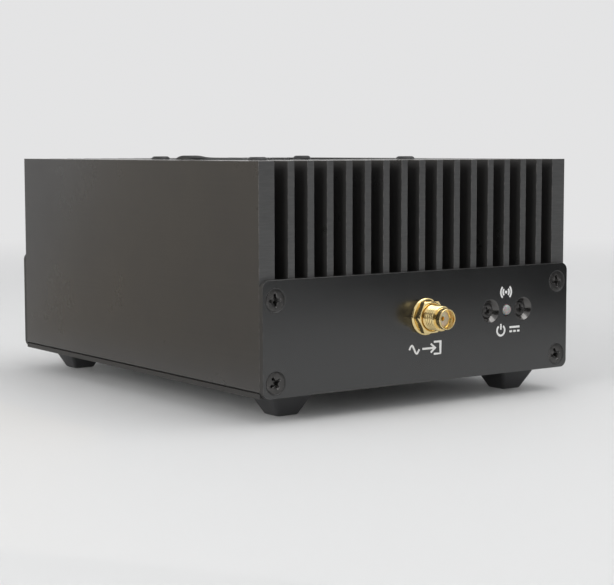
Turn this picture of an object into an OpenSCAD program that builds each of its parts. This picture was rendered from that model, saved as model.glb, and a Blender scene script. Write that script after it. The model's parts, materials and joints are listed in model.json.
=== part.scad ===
// Radio power amplifier: a finned extrusion with a fan let into its fins, closed below by three plates.
// Millimetres. X runs right along the front, Y to the rear, Z up. The origin is on the floor,
// in the middle between the feet.

/* [Case] */
// Width across the side walls
body_w = 100; // [92:1:108]
// Length of the finned extrusion
body_l = 125; // [115:1:140]
// Height from the underside of the bottom plate to the fin tips
body_h = 56.5; // [52:0.5:62]
// Thickness of the plain side walls
wall_t = 4.5; // [4.2:0.1:4.8]
// Thickness of one fin
fin_t = 1.9; // [1.7:0.1:2.1]
// Thickness of the front and rear plates
plate_t = 1.5; // [1.5:0.1:2]
// Height of the front and rear plates
plate_h = 28.4; // [28:0.1:30]
// Corner radius of the front and rear plates
plate_r = 2; // [1:0.5:3]
// Thickness of the bottom plate
bottom_t = 1.2; // [1.2:0.1:1.6]

/* [Feet] */
// Side of a foot where it is stuck to the bottom plate
foot_w = 12.5; // [11:0.5:13]
// Side of a foot on the floor
foot_tip_w = 6.3; // [5:0.1:8]
// Height of a foot
foot_h = 6; // [5:0.5:8]
// Middle of a foot in from the side of the body
foot_in_x = 12.7; // [12.5:0.1:15]
// Middle of a foot in from the end of the body
foot_in_y = 9.4; // [8:0.1:12]

/* [Panels] */
// Height of the jacks and the lamp above the underside
panel_v = 16.8; // [16.5:0.1:17]
// Lamp to the right of the middle of the front plate
lamp_u = 28; // [27:0.5:30]
// Distance between the two screws beside the lamp
lamp_pitch = 11.6; // [11:0.1:13]
// Corner screws in from the side of a plate
corner_in = 3.75; // [3.6:0.05:4]
// Lower corner screws up from the bottom edge of a plate
corner_rise = 3.7; // [3.6:0.1:4]
// Upper corner screws down from the top edge of a plate
corner_drop = 4.9; // [4.5:0.1:5]
// Output jack from the middle of the body, to the right seen from the front
output_x = -20; // [-24:1:-12]
// Power socket to the right of the middle of the body, seen from the front
socket_x = 28; // [26:0.5:30]
// Height of the power socket above the underside
socket_v = 11.5; // [11:0.1:12]

/* [Jacks] */
// Thread of a coaxial jack
jack_d = 6.35; // [6.2:0.05:6.5]
// Jack tip in front of its plate
jack_out = 8.6; // [8:0.1:10]
// Nut of a jack across its flats
jack_nut_w = 8; // [7.8:0.1:8.5]
// Washer under the nut of a jack
jack_washer_d = 9.5; // [9.2:0.1:10]

/* [Fan] */
// Side of the fan's square frame
fan_w = 60; // [56:1:64]
// Thickness of the fan
fan_t = 15; // [14:0.5:17]
// Middle of a fan screw in from the side of the frame
fan_hole_in = 5; // [4.5:0.1:6]
// Fan frame below the fin tips
fan_drop = 1.3; // [0.8:0.1:1.6]
// Number of blades
blade_count = 7; // [5:1:7]
// Diameter of the impeller's hub
hub_d = 28; // [27:0.5:30]
// Room between the blade tips and the duct
tip_gap = 0.6; // [0.4:0.1:1]

/* [Clearances] */
// Radial room of a screw thread in its hole
thread_gap = 0.05; // [0.03:0.01:0.1]
// Radial room of the fan shaft in its bearing
shaft_gap = 0.04; // [0.02:0.01:0.08]
// Room round the fan in its pocket
pocket_gap = 0.3; // [0.2:0.1:0.4]

/* [Hidden] */

$fn = 64;
// How far a cut runs past the face it opens
cut = 1;

// Levels of the case
root_drop = 0.5;
web_room = 0.4;
jack_flange_d = 8;
under_z = foot_h;
floor_z = under_z + bottom_t;
jack_z = under_z + panel_v;
web_z = jack_z + jack_flange_d / 2 + web_room;
root_z = under_z + plate_h - root_drop;
top_z = under_z + body_h;
panel_y = body_l / 2 + plate_t;

// Fins and the cavity below them
fin_count = 15;
slot_count = fin_count + 1;
slot_w = (body_w - 2 * wall_t - fin_count * fin_t) / slot_count;
fin_step = fin_t + slot_w;
cavity_w = body_w - 2 * wall_t;
rail_w = 3;
rail_h = 6;
seam = 0.45;

// Screws: shank, head and countersink
m3 = 3;
m3_head = 5.4;
m3_sink = 5.8;
m3_pan_d = 5.6;
m3_pan_h = 2;
m3_free = 3.2;
m25 = 2.5;
m25_head = 4.7;
m25_sink = 4.9;
m25_free = 2.7;
lamp_screw_d = 2;
lamp_screw_head = 3.8;
lamp_screw_sink = 6.1;
lamp_screw_free = 2.2;
cross_t = 0.8;
cross_share = 0.6;
cross_sink_share = 0.75;
cross_pan_share = 0.5;
end_screw_l = 10;
bottom_screw_l = 6;
screw_end_room = 0.3;
bottom_screw_step = 40;

// Coaxial jacks
jack_flange_t = 2;
jack_tip_l = 1.9;
jack_tip_d = 5.3;
jack_mouth_d = 4.6;
jack_core_d = 4.1;
jack_nut_t = 2.2;
jack_washer_t = 0.6;
jack_room = 0.1;
thread_depth = 0.2;
thread_runout = 0.5;
contact_d = 1.27;
contact_bore_d = 0.9;
contact_bore_l = 3;
contact_over_board = 3;
face_w = jack_out - jack_tip_l;
jack_root_d = jack_d - 2 * thread_depth;
free_thread_w = jack_washer_t + jack_nut_t + thread_runout;

// Power socket
socket_flange_d = 11;
socket_flange_t = 2;
socket_thread_d = 8;
socket_tail_d = 7.2;
socket_depth = 9;
socket_tail_l = 3;
socket_tag_l = 3;
socket_tag_w = 2;
socket_bore_d = 6.4;
sleeve_t = 0.3;
sleeve_step = 0.4;
socket_pin_d = 2.1;
socket_pin_step = 1.2;
socket_nut_w = 10;
socket_nut_t = 2;
socket_u = -socket_x;
socket_z = under_z + socket_v;
tag_y = body_l / 2 - socket_depth - socket_tail_l - socket_tag_l;
tag_z = socket_z + socket_bore_d / 2 - sleeve_t / 2;

// Lamp
lamp_d = 3;
lamp_rim_d = 3.8;
lamp_rim_t = 1;
lamp_sink = 0.6;
lamp_leg_d = 0.5;
lamp_leg_step = 1.27;
lamp_board_w = 18;
lamp_board_h = 7;
lamp_board_t = 1.2;
lamp_spacer_d = 5;
lamp_spacer_bore = 3.2;
lamp_spacer_l = 3.5;
lamp_nut_w = 4;
lamp_nut_t = 1.6;
lamp_back_y = -body_l / 2 + lamp_spacer_l + lamp_board_t;
lamp_lead_r = 0.6;

// Fan, measured down from the top face of its frame
fan_z = top_z - fan_drop;
fan_bed_z = fan_z - fan_t;
fan_corner_r = 3;
fan_flange_t = 3.5;
fan_hole_d = 4.3;
fan_pitch = fan_w - 2 * fan_hole_in;
fan_screw_floor = 0.8;
duct_in = 1.5;
duct_d = fan_w - 2 * duct_in;
duct_wall = 1.3;
seat_drop = 0.6;
seat_t = 2.4;
seat_d = hub_d - 1;
seat_z = -seat_drop - seat_t;
strut_w = 3;
tube_d = 8;
bearing_d = 6;
bearing_drop = 2;
shaft_d = 3;
shaft_end = 0.5;
hub_floor_room = 1;
hub_wall = 1.2;
hub_rim_room = 0.6;
hub_floor_z = -fan_t + hub_floor_room;
boss_d = 6.4;
boss_l = 2;
boss_room = 0.4;
boss_z = hub_floor_z + boss_l;
tube_end_z = boss_z + boss_room;
clip_d = 5;
clip_t = 0.5;
clip_room = 0.3;
fan_board_d = 22;
fan_board_t = 1.2;
magnet_t = 1.4;
magnet_l = 7;
pole_room = 0.6;
magnet_d = hub_d - 2 * hub_wall;
pole_d = magnet_d - 2 * magnet_t - 2 * pole_room;
stator_h = 4;
core_d = 11;
shoe_t = 1.1;
arm_w = 2.4;
coil_side = 1.4;
coil_play = 0.2;
stator_z = seat_z - fan_board_t - coil_side - coil_play - stator_h;

// Blades
blade_t = 1.3;
blade_sweep = 16;
blade_root_arc = 46;
blade_tip_arc = 40;
blade_camber = 0.12;
blade_spans = 6;
blade_steps = 8;
blade_root_r = hub_d / 2 - hub_wall / 2;
blade_tip_r = duct_d / 2 - tip_gap;
blade_floor_room = 1.4;
blade_strut_room = 0.8;
blade_edge_share = 0.45;
blade_low_z = -fan_t + blade_floor_room + blade_t / 2;
blade_high_z = seat_z - blade_strut_room - blade_t / 2;

// Circuit board, hung under the web so that its face meets the contacts of the jacks
board_t = 1.6;
board_side_room = 2.5;
board_end_room = 7.5;
board_w = cavity_w - 2 * board_side_room;
board_l = body_l - 2 * board_end_room;
board_z = jack_z + contact_d / 2;
board_spacer_d = 6;
board_screw_side = 5;
board_screw_end = 6;
board_screw_x = board_w / 2 - board_screw_side;
board_screw_y = board_l / 2 - board_screw_end;
board_grip = 4.5;
stub_room = 1;
stub_l = board_end_room - jack_flange_t - stub_room;

// Power transistor and its spreader
spreader_w = 36;
spreader_l = 12;
cutout_room = 1;
flange_w = 34;
flange_l = 10;
flange_t = 1.4;
flange_rise = 0.4;
flange_z = board_z + flange_rise;
lid_w = 20;
lid_l = 9.6;
lid_h = 3.4;
tab_w = 6;
tab_t = 0.2;
tab_step = 10;
tab_end = 11;
transistor_screw_step = 28;

// Parts on the board
relay_size = [20, 10, 10];
input_relay_in = 15;
output_relay_in = 9;
input_relay_y = -board_l / 2 + input_relay_in;
output_relay_y = board_l / 2 - output_relay_in;
driver_size = [8, 8, 2];
driver_y = (input_relay_y + relay_size.y / 2 - tab_end) / 2;
regulator_size = [6.5, 6, 2.3];
regulator_at = [-26, 30];
regulator_tab_t = 0.6;
regulator_tab_l = 3;
supply_cap_d = 10;
supply_cap_h = 11;
supply_cap_y = [12, 24];
chip_size = [3, 3, 2.6];
chip_x = 9.5;
header_size = [6, 5, 7];

// Filter coils, shared out between the transistor and the output relay, with chip capacitors between
// them: whole turns plus a half, so that both legs of a coil rise to the board
coil_turns = 5.5;
coil_step = 2;
coil_r = 3;
wire_r = 0.6;
coil_room = 1;
coil_rings = 12;
coil_count = 3;
coil_pitch = (output_relay_y - relay_size.y / 2 - tab_end) / coil_count;
coil_y = [for (k = [0:coil_count - 1]) tab_end + (k + 0.5) * coil_pitch];
chip_y = [for (k = [1:coil_count - 1]) tab_end + k * coil_pitch];
coil_z = board_z - coil_r - wire_r - coil_room;

// Fan lead: along a strut, over the frame's rim, down the next slot that has room for it beside the fan
// and through the web to its header
lead_r = 1;
lead_room = 0.4;
lead_play = 0.35;
strut_play = 0.3;
lead_bend = 2;
rim_turn = 0.65;
lead_y = 6;
lead_start_x = -9;
board_lead_room = 1;
header_lead_drop = 4.5;
lead_slot = ceil((fan_w / 2 + 2 * (lead_r + lead_room) - slot_w / 2) / fin_step - 0.5) + 0.5;
slot_near_x = lead_slot * fin_step - slot_w / 2;
lead_x = -(max(fan_w / 2, slot_near_x) + slot_near_x + slot_w) / 2;
strut_lead_z = fan_z - seat_drop + lead_r + strut_play;
rim_lead_z = fan_z + lead_r + lead_play;
header_x = lead_x + 2 * lead_bend;
header_lead_z = board_z - header_lead_drop;
fan_lead_route = [
    [lead_start_x, 0, fan_z + seat_z],
    [lead_start_x, 0, fan_z - seat_drop],
    [lead_start_x - lead_bend, 0, strut_lead_z],
    [-duct_d / 2 + 2 * lead_bend, 0, strut_lead_z],
    [-duct_d / 2 + lead_bend / 2, 0, rim_lead_z],
    [-fan_w / 2, 0, rim_lead_z],
    [lead_x, rim_turn * lead_y, rim_lead_z],
    [lead_x, lead_y, fan_z - lead_bend],
    [lead_x, lead_y, fan_z - fan_t / 2],
    [lead_x, lead_y, root_z + 2 * lead_bend],
    [lead_x, lead_y, board_z],
    [lead_x, lead_y, header_lead_z],
    [lead_x + lead_bend, lead_y, header_lead_z],
    [header_x, lead_y, header_lead_z]
];

// Supply leads, from the tags of the power socket up to the board
supply_lead_r = 0.9;
supply_rise = 1;
plus_run = 8;
plus_bend = 3;
minus_run = 3.5;
minus_bend = 1.5;
function supply_route(z, run, bend) = [
    [socket_x, tag_y, z],
    [socket_x, tag_y - run + bend, z],
    [socket_x, tag_y - run, z + supply_rise],
    [socket_x, tag_y - run, board_z]
];

// Lamp leads, from the lamp board to the board
lamp_lead_step = 4;
lamp_lead_drop = 2.5;
lamp_lead_rise = 0.5;
lamp_lead_run = 8;
lamp_lead_z = jack_z - lamp_lead_drop;
lamp_lead_route = [
    [lamp_u, lamp_back_y, lamp_lead_z],
    [lamp_u, lamp_back_y + lamp_lead_run / 2, lamp_lead_z],
    [lamp_u, lamp_back_y + lamp_lead_run, lamp_lead_z + lamp_lead_rise],
    [lamp_u, lamp_back_y + lamp_lead_run, board_z]
];

// Frames of the faces: U to the right and V up as one looks at the face, W out of it
module on_front() translate([0, -panel_y, under_z]) rotate([90, 0, 0]) children();
module on_rear() translate([0, panel_y, under_z]) rotate([90, 0, 180]) children();
module on_output() on_rear() translate([-output_x, 0, 0]) children();
module on_bottom() translate([0, 0, under_z]) rotate([180, 0, 0]) children();
module at_fan() translate([0, 0, fan_z]) children();
module at_jack() translate([0, panel_v, 0]) children();

// Places of repeated pieces
corner_points = [for (s = [-1, 1]) for (v = [corner_rise, plate_h - corner_drop])
    [s * (body_w / 2 - corner_in), v]];
lamp_points = [for (s = [-1, 1]) [lamp_u + s * lamp_pitch / 2, panel_v]];
bottom_points = [for (s = [-1, 1]) for (k = [-1:1]) [s * (body_w / 2 - corner_in), k * bottom_screw_step]];
fan_points = [for (sx = [-1, 1]) for (sy = [-1, 1]) [sx, sy] * fan_pitch / 2];
board_points = [for (s = [-1, 1]) for (k = [-1:1]) [s * board_screw_x, k * board_screw_y]];
transistor_points = [for (s = [-1, 1]) [s * transistor_screw_step / 2, 0]];

module at_points(points) for (p = points) translate(p) children();

module rounded_rect(size, r) {
    square([size.x - 2 * r, size.y], center = true);
    square([size.x, size.y - 2 * r], center = true);
    at_points([for (sx = [-1, 1]) for (sy = [-1, 1]) [sx * (size.x / 2 - r), sy * (size.y / 2 - r)]])
        circle(r);
}

module ring(d, bore, h) {
    difference() {
        cylinder(d = d, h = h);
        translate([0, 0, -cut]) cylinder(d = bore, h = h + 2 * cut);
    }
}

module hex_nut(across, bore, h) {
    difference() {
        cylinder(d = across / cos(30), h = h, $fn = 6);
        translate([0, 0, -cut]) cylinder(d = bore, h = h + 2 * cut);
    }
}

// Cross recess sunk into a face at W = 0
module cross_recess(span, depth) {
    for (turn = [0, 90])
        rotate(turn) translate([-span / 2, -cross_t / 2, -depth]) cube([span, cross_t, depth + cut]);
}

// Countersunk screw whose head seats in a sink of the same cone, its shank reaching W = -reach
module sunk_screw(d, head_d, sink_d, reach) {
    drop = (sink_d - head_d) / 2;
    cone_h = (head_d - d) / 2;
    difference() {
        union() {
            translate([0, 0, -drop - cone_h]) cylinder(d1 = d, d2 = head_d, h = cone_h);
            translate([0, 0, -reach]) cylinder(d = d, h = reach - drop - cone_h);
        }
        translate([0, 0, -drop]) cross_recess(head_d * cross_share, cone_h * cross_sink_share);
    }
}

module sunk_hole(free_d, sink_d, depth) {
    cone_h = (sink_d - free_d) / 2;
    translate([0, 0, -cone_h]) cylinder(d1 = free_d, d2 = sink_d + 2 * cut, h = cone_h + cut);
    translate([0, 0, -depth - cut]) cylinder(d = free_d, h = depth + cut);
}

// Pan-head screw with its head above W = 0 and its shank reaching W = -reach
module pan_screw(reach) {
    difference() {
        union() {
            cylinder(d = m3_pan_d, h = m3_pan_h);
            translate([0, 0, -reach]) cylinder(d = m3, h = reach);
        }
        translate([0, 0, m3_pan_h]) cross_recess(m3_pan_d * cross_share, m3_pan_h * cross_pan_share);
    }
}

module tapped_hole(d, depth) translate([0, 0, -depth]) cylinder(d = d + 2 * thread_gap, h = depth + cut);

// Round tube along a route, its frame carried from point to point
function unit(v) = v / norm(v);
function heading(p, i) = unit(p[min(i + 1, len(p) - 1)] - p[max(i - 1, 0)]);
function carried(n, t) = unit(n - t * (n * t));
function sides_of(p, n, i = 0) =
    i == len(p) ? [] : let (m = carried(n, heading(p, i))) concat([m], sides_of(p, m, i + 1));
function trimmed(p) = concat([p[0]],
    [for (i = [0:len(p) - 2]) each [p[i] * 0.75 + p[i + 1] * 0.25, p[i] * 0.25 + p[i + 1] * 0.75]],
    [p[len(p) - 1]]);

module tube(route, r, sides = 8) {
    n = sides_of(route, unit([0.2, 1, 0.3]));
    points = [for (i = [0:len(route) - 1]) for (k = [0:sides - 1])
        let (a = 360 * k / sides) route[i] + r * (n[i] * cos(a) + cross(heading(route, i), n[i]) * sin(a))];
    walls = [for (i = [0:len(route) - 2]) for (k = [0:sides - 1]) let (m = (k + 1) % sides)
        [i * sides + k, (i + 1) * sides + k, (i + 1) * sides + m, i * sides + m]];
    last = (len(route) - 1) * sides;
    polyhedron(points, concat(walls, [[for (k = [0:sides - 1]) k]], [[for (k = [sides - 1:-1:0]) last + k]]));
}

module lead(route, r) tube(trimmed(trimmed(route)), r);

// Case
function slot_x(i) = -cavity_w / 2 + i * fin_step;

module extrusion_profile() {
    difference() {
        translate([-body_w / 2, floor_z]) square([body_w, top_z - floor_z]);
        translate([-cavity_w / 2, floor_z - cut]) square([cavity_w, web_z - floor_z + cut]);
        for (i = [0:slot_count - 1])
            translate([slot_x(i), root_z]) square([slot_w, top_z - root_z + cut]);
        for (s = [-1, 1])
            translate([s * body_w / 2, floor_z]) rotate(45) square(seam * sqrt(2), center = true);
    }
    for (s = [-1, 1])
        translate([s * (cavity_w - rail_w) / 2, floor_z + rail_h / 2])
            square([rail_w, rail_h], center = true);
}

module end_taps() translate([0, 0, -plate_t]) at_points(corner_points)
    tapped_hole(m3, end_screw_l - plate_t + screw_end_room);

module heatsink_body() color("#26272a") difference() {
    rotate([90, 0, 0]) linear_extrude(body_l, center = true) extrusion_profile();
    pocket_w = fan_w + 2 * pocket_gap;
    translate([-pocket_w / 2, -pocket_w / 2, fan_bed_z]) cube([pocket_w, pocket_w, fan_t + fan_drop + cut]);
    on_front() end_taps();
    on_rear() end_taps();
    on_bottom() translate([0, 0, -bottom_t]) at_points(bottom_points)
        tapped_hole(m25, bottom_screw_l - bottom_t + screw_end_room);
    at_points(fan_points) {
        translate([0, 0, root_z]) tapped_hole(m3, root_z - web_z - fan_screw_floor + screw_end_room);
        translate([0, 0, root_z]) cylinder(d = m3_free, h = fan_bed_z - root_z + cut);
    }
    translate([0, 0, web_z]) mirror([0, 0, 1]) {
        at_points(board_points) tapped_hole(m3, board_grip + screw_end_room);
        at_points(transistor_points) tapped_hole(m3, board_grip + screw_end_room);
    }
    translate([lead_x, lead_y, web_z - cut]) cylinder(r = lead_r + lead_room, h = root_z - web_z + 2 * cut);
}

module end_plate_blank() {
    translate([0, plate_h / 2, -plate_t]) linear_extrude(plate_t) rounded_rect([body_w, plate_h], plate_r);
}

module end_plate_holes() {
    at_points(corner_points) sunk_hole(m3_free, m3_sink, plate_t);
    children();
}

module jack_hole() at_jack()
    translate([0, 0, -plate_t - cut]) cylinder(d = jack_d + 2 * jack_room, h = plate_t + 2 * cut);

module front_plate() color("#2b2c30") on_front() difference() {
    end_plate_blank();
    end_plate_holes() jack_hole();
    at_points(lamp_points) sunk_hole(lamp_screw_free, lamp_screw_sink, plate_t);
    translate([lamp_u, panel_v, -plate_t - cut]) cylinder(d = lamp_d + 2 * jack_room, h = plate_t + 2 * cut);
}

module rear_plate() color("#2b2c30") on_rear() difference() {
    end_plate_blank();
    end_plate_holes() translate([-output_x, 0, 0]) jack_hole();
    translate([socket_u, socket_v, -plate_t - cut])
        cylinder(d = socket_thread_d + 2 * jack_room, h = plate_t + 2 * cut);
}

module bottom_plate() color("#2b2c30") on_bottom() difference() {
    translate([-body_w / 2, -body_l / 2, -bottom_t]) cube([body_w, body_l, bottom_t]);
    at_points(bottom_points) sunk_hole(m25_free, m25_sink, bottom_t);
}

module end_plate_screws() color("#3a3a3c") {
    on_front() at_points(corner_points) sunk_screw(m3, m3_head, m3_sink, end_screw_l);
    on_rear() at_points(corner_points) sunk_screw(m3, m3_head, m3_sink, end_screw_l);
}

module bottom_plate_screws() color("#3a3a3c")
    on_bottom() at_points(bottom_points) sunk_screw(m25, m25_head, m25_sink, bottom_screw_l);

module foot(sx, sy) color("#1b1b1c")
    translate([sx * (body_w / 2 - foot_in_x), sy * (body_l / 2 - foot_in_y), 0])
        polyhedron(
            [for (level = [[foot_tip_w / 2, 0], [foot_w / 2, foot_h]])
                for (c = [[-1, -1], [1, -1], [1, 1], [-1, 1]]) [c.x * level[0], c.y * level[0], level[1]]],
            [[0, 1, 2, 3], [7, 6, 5, 4], [0, 4, 5, 1], [1, 5, 6, 2], [2, 6, 7, 3], [3, 7, 4, 0]]);

module foot_front_left() foot(-1, -1);
module foot_front_right() foot(1, -1);
module foot_rear_left() foot(-1, 1);
module foot_rear_right() foot(1, 1);

// Coaxial jack, W = 0 on the outer face of its plate: at the root of its thread where the nut holds it,
// and at the full thread in front of the nut
module jack_shell() color("#d9a93f") at_jack() rotate_extrude()
    polygon([
        [jack_core_d / 2, -plate_t - jack_flange_t], [jack_flange_d / 2, -plate_t - jack_flange_t],
        [jack_flange_d / 2, -plate_t], [jack_root_d / 2, -plate_t],
        [jack_root_d / 2, free_thread_w], [jack_d / 2, free_thread_w], [jack_d / 2, face_w],
        [jack_tip_d / 2, face_w], [jack_tip_d / 2, jack_out], [jack_mouth_d / 2, jack_out],
        [jack_mouth_d / 2, face_w], [jack_core_d / 2, face_w]
    ]);

module jack_washer() color("#d9a93f") at_jack() ring(jack_washer_d, jack_d + 2 * jack_room, jack_washer_t);

module jack_nut() color("#d9a93f") at_jack()
    translate([0, 0, jack_washer_t]) hex_nut(jack_nut_w, jack_root_d + 2 * thread_gap, jack_nut_t);

module jack_insulator() color("#f4f3ee") at_jack()
    translate([0, 0, -plate_t - jack_flange_t - stub_l])
        ring(jack_core_d, contact_d, face_w + plate_t + jack_flange_t + stub_l);

module jack_contact() color("#d9a93f") at_jack() {
    inner = -plate_t - board_end_room - contact_over_board;
    difference() {
        translate([0, 0, inner]) cylinder(d = contact_d, h = face_w - inner);
        translate([0, 0, face_w - contact_bore_l]) cylinder(d = contact_bore_d, h = contact_bore_l + cut);
    }
}

module input_jack_shell() on_front() jack_shell();
module input_jack_nut() on_front() jack_nut();
module input_jack_washer() on_front() jack_washer();
module input_jack_insulator() on_front() jack_insulator();
module input_jack_contact() on_front() jack_contact();
module output_jack_shell() on_output() jack_shell();
module output_jack_nut() on_output() jack_nut();
module output_jack_washer() on_output() jack_washer();
module output_jack_insulator() on_output() jack_insulator();
module output_jack_contact() on_output() jack_contact();

// Power socket, on the rear plate
module at_socket() on_rear() translate([socket_u, socket_v, 0]) children();

module sleeve_tag(h) {
    intersection() {
        ring(socket_bore_d, socket_bore_d - 2 * sleeve_t, h);
        translate([-socket_tag_w / 2, 0, -cut]) cube([socket_tag_w, socket_bore_d, h + 2 * cut]);
    }
}

module power_socket() color("#1d1d1e") at_socket() {
    back = -plate_t - socket_depth - socket_tail_l;
    difference() {
        union() {
            cylinder(d = socket_flange_d, h = socket_flange_t);
            translate([0, 0, -plate_t - socket_depth])
                cylinder(d = socket_thread_d, h = plate_t + socket_depth);
            translate([0, 0, back]) cylinder(d = socket_tail_d, h = socket_tail_l);
        }
        translate([0, 0, -plate_t - socket_depth])
            cylinder(d = socket_bore_d, h = plate_t + socket_depth + socket_flange_t + cut);
        translate([0, 0, back - cut]) cylinder(d = socket_pin_d, h = socket_tail_l + 2 * cut);
        translate([0, 0, back - cut]) sleeve_tag(socket_tail_l + 2 * cut);
    }
}

module power_socket_sleeve() color("#c9c9cc") at_socket() {
    length = plate_t + socket_depth + socket_flange_t - sleeve_step;
    translate([0, 0, -plate_t - socket_depth]) ring(socket_bore_d, socket_bore_d - 2 * sleeve_t, length);
    translate([0, 0, -plate_t - socket_depth - socket_tail_l - socket_tag_l])
        sleeve_tag(socket_tail_l + socket_tag_l);
}

module power_socket_pin() color("#c9c9cc") at_socket() {
    length = plate_t + socket_depth + socket_tail_l + socket_tag_l + socket_flange_t - socket_pin_step;
    translate([0, 0, -plate_t - socket_depth - socket_tail_l - socket_tag_l])
        cylinder(d = socket_pin_d, h = length);
}

module power_socket_nut() color("#c9c9cc") at_socket()
    translate([0, 0, -plate_t - socket_nut_t])
        hex_nut(socket_nut_w, socket_thread_d + 2 * thread_gap, socket_nut_t);

// Lamp, on the front plate
module at_lamp() on_front() translate([lamp_u, panel_v, 0]) children();

module lamp() color("#d8dcd8") at_lamp() {
    translate([0, 0, -plate_t - lamp_rim_t]) cylinder(d = lamp_rim_d, h = lamp_rim_t);
    translate([0, 0, -plate_t]) cylinder(d = lamp_d, h = plate_t - lamp_sink);
    translate([0, 0, -lamp_sink]) intersection() {
        sphere(d = lamp_d);
        translate([-lamp_d / 2, -lamp_d / 2, 0]) cube(lamp_d);
    }
}

module lamp_legs() color("#c9c9cc") at_lamp()
    for (s = [-1, 1])
        translate([s * lamp_leg_step, 0, -plate_t - lamp_spacer_l - lamp_board_t])
            cylinder(d = lamp_leg_d, h = lamp_spacer_l + lamp_board_t - lamp_rim_t);

module lamp_board() color("#2f5d3a") at_lamp() difference() {
    translate([-lamp_board_w / 2, -lamp_board_h / 2, -plate_t - lamp_spacer_l - lamp_board_t])
        cube([lamp_board_w, lamp_board_h, lamp_board_t]);
    translate([0, 0, -plate_t - lamp_spacer_l - lamp_board_t - cut]) {
        for (s = [-1, 1]) {
            translate([s * lamp_pitch / 2, 0, 0]) cylinder(d = lamp_screw_free, h = lamp_board_t + 2 * cut);
            translate([s * lamp_leg_step, 0, 0]) cylinder(d = lamp_leg_d, h = lamp_board_t + 2 * cut);
        }
    }
}

module lamp_spacers() color("#c9c9cc") on_front() at_points(lamp_points)
    translate([0, 0, -plate_t - lamp_spacer_l]) ring(lamp_spacer_d, lamp_spacer_bore, lamp_spacer_l);

module lamp_screws() color("#3a3a3c") on_front() at_points(lamp_points)
    sunk_screw(lamp_screw_d, lamp_screw_head, lamp_screw_sink,
        plate_t + lamp_spacer_l + lamp_board_t + lamp_nut_t);

module lamp_nuts() color("#c9c9cc") on_front() at_points(lamp_points)
    translate([0, 0, -plate_t - lamp_spacer_l - lamp_board_t - lamp_nut_t])
        hex_nut(lamp_nut_w, lamp_screw_d + 2 * thread_gap, lamp_nut_t);

module lamp_leads() color("#a02a2a")
    for (s = [-1, 1]) translate([s * lamp_lead_step / 2, 0, 0]) lead(lamp_lead_route, lamp_lead_r);

// Fan
module fan_duct() {
    difference() {
        union() {
            for (z = [-fan_t, -fan_flange_t])
                translate([0, 0, z]) linear_extrude(fan_flange_t) rounded_rect([fan_w, fan_w], fan_corner_r);
            translate([0, 0, -fan_t]) cylinder(d = duct_d + 2 * duct_wall, h = fan_t);
        }
        translate([0, 0, -fan_t - cut]) cylinder(d = duct_d, h = fan_t + 2 * cut);
        translate([0, 0, -fan_t - cut]) at_points(fan_points) cylinder(d = fan_hole_d, h = fan_t + 2 * cut);
    }
}

// Four struts, let half-way into the wall of the duct
module fan_struts() {
    reach = (duct_d + duct_wall) / 2;
    for (turn = [0:90:270])
        rotate(turn) translate([0, -strut_w / 2, seat_z]) cube([reach, strut_w, seat_t]);
}

module fan_motor_seat() {
    difference() {
        union() {
            translate([0, 0, seat_z]) cylinder(d = seat_d, h = seat_t);
            fan_struts();
            translate([0, 0, tube_end_z]) cylinder(d = tube_d, h = seat_z - tube_end_z);
        }
        translate([0, 0, tube_end_z - cut]) cylinder(d = bearing_d, h = seat_z - tube_end_z + cut);
        lead_hole_r = lead_r + lead_room;
        translate([lead_start_x, 0, seat_z - cut]) {
            for (x = [0, -lead_bend]) translate([x, 0, 0]) cylinder(r = lead_hole_r, h = seat_t + 2 * cut);
            translate([-lead_bend, -lead_hole_r, 0]) cube([lead_bend, 2 * lead_hole_r, seat_t + 2 * cut]);
        }
    }
}

module fan_frame() color("#1e1f21") at_fan() difference() {
    fan_duct();
    fan_struts();
}

module fan_spider() color("#1e1f21") at_fan() fan_motor_seat();

module fan_bearing() color("#b5893c") at_fan()
    translate([0, 0, tube_end_z])
        ring(bearing_d, shaft_d + 2 * shaft_gap, seat_z - bearing_drop - tube_end_z);

module fan_board() color("#2f5d3a") at_fan()
    translate([0, 0, seat_z - fan_board_t]) ring(fan_board_d, tube_d, fan_board_t);

module fan_stator() color("#77797c") at_fan() translate([0, 0, stator_z]) difference() {
    union() {
        cylinder(d = core_d, h = stator_h);
        difference() {
            ring(pole_d, pole_d - 2 * shoe_t, stator_h);
            for (turn = [45, 135]) rotate(turn)
                translate([-pole_d, -coil_side / 2, -cut]) cube([2 * pole_d, coil_side, stator_h + 2 * cut]);
        }
        for (turn = [0, 90]) rotate(turn)
            translate([-pole_d / 2 + shoe_t / 2, -arm_w / 2, 0]) cube([pole_d - shoe_t, arm_w, stator_h]);
    }
    translate([0, 0, -cut]) cylinder(d = tube_d, h = stator_h + 2 * cut);
}

module fan_windings() color("#a9592b") at_fan() {
    inner = core_d / 2 + coil_play;
    outer = pole_d / 2 - shoe_t - 2 * coil_play;
    for (turn = [0:90:270]) rotate(turn) difference() {
        translate([inner, -arm_w / 2 - coil_side, stator_z - coil_side])
            cube([outer - inner, arm_w + 2 * coil_side, stator_h + 2 * coil_side]);
        translate([inner - cut, -arm_w / 2, stator_z]) cube([outer - inner + 2 * cut, arm_w, stator_h]);
    }
}

// One blade: a swept, cambered sheet from the hub wall to the duct
function blade_point(s, c, side) =
    let (
        r = blade_root_r + s * (blade_tip_r - blade_root_r),
        arc = blade_root_arc + s * (blade_tip_arc - blade_root_arc),
        a = blade_sweep * s * s + (c - 0.5) * arc,
        rise = c + blade_camber * sin(180 * c),
        half = blade_t / 2 * (blade_edge_share + (1 - blade_edge_share) * sin(180 * c))
    )
    [r * cos(a), r * sin(a), blade_low_z + rise * (blade_high_z - blade_low_z) + side * half];

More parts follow.
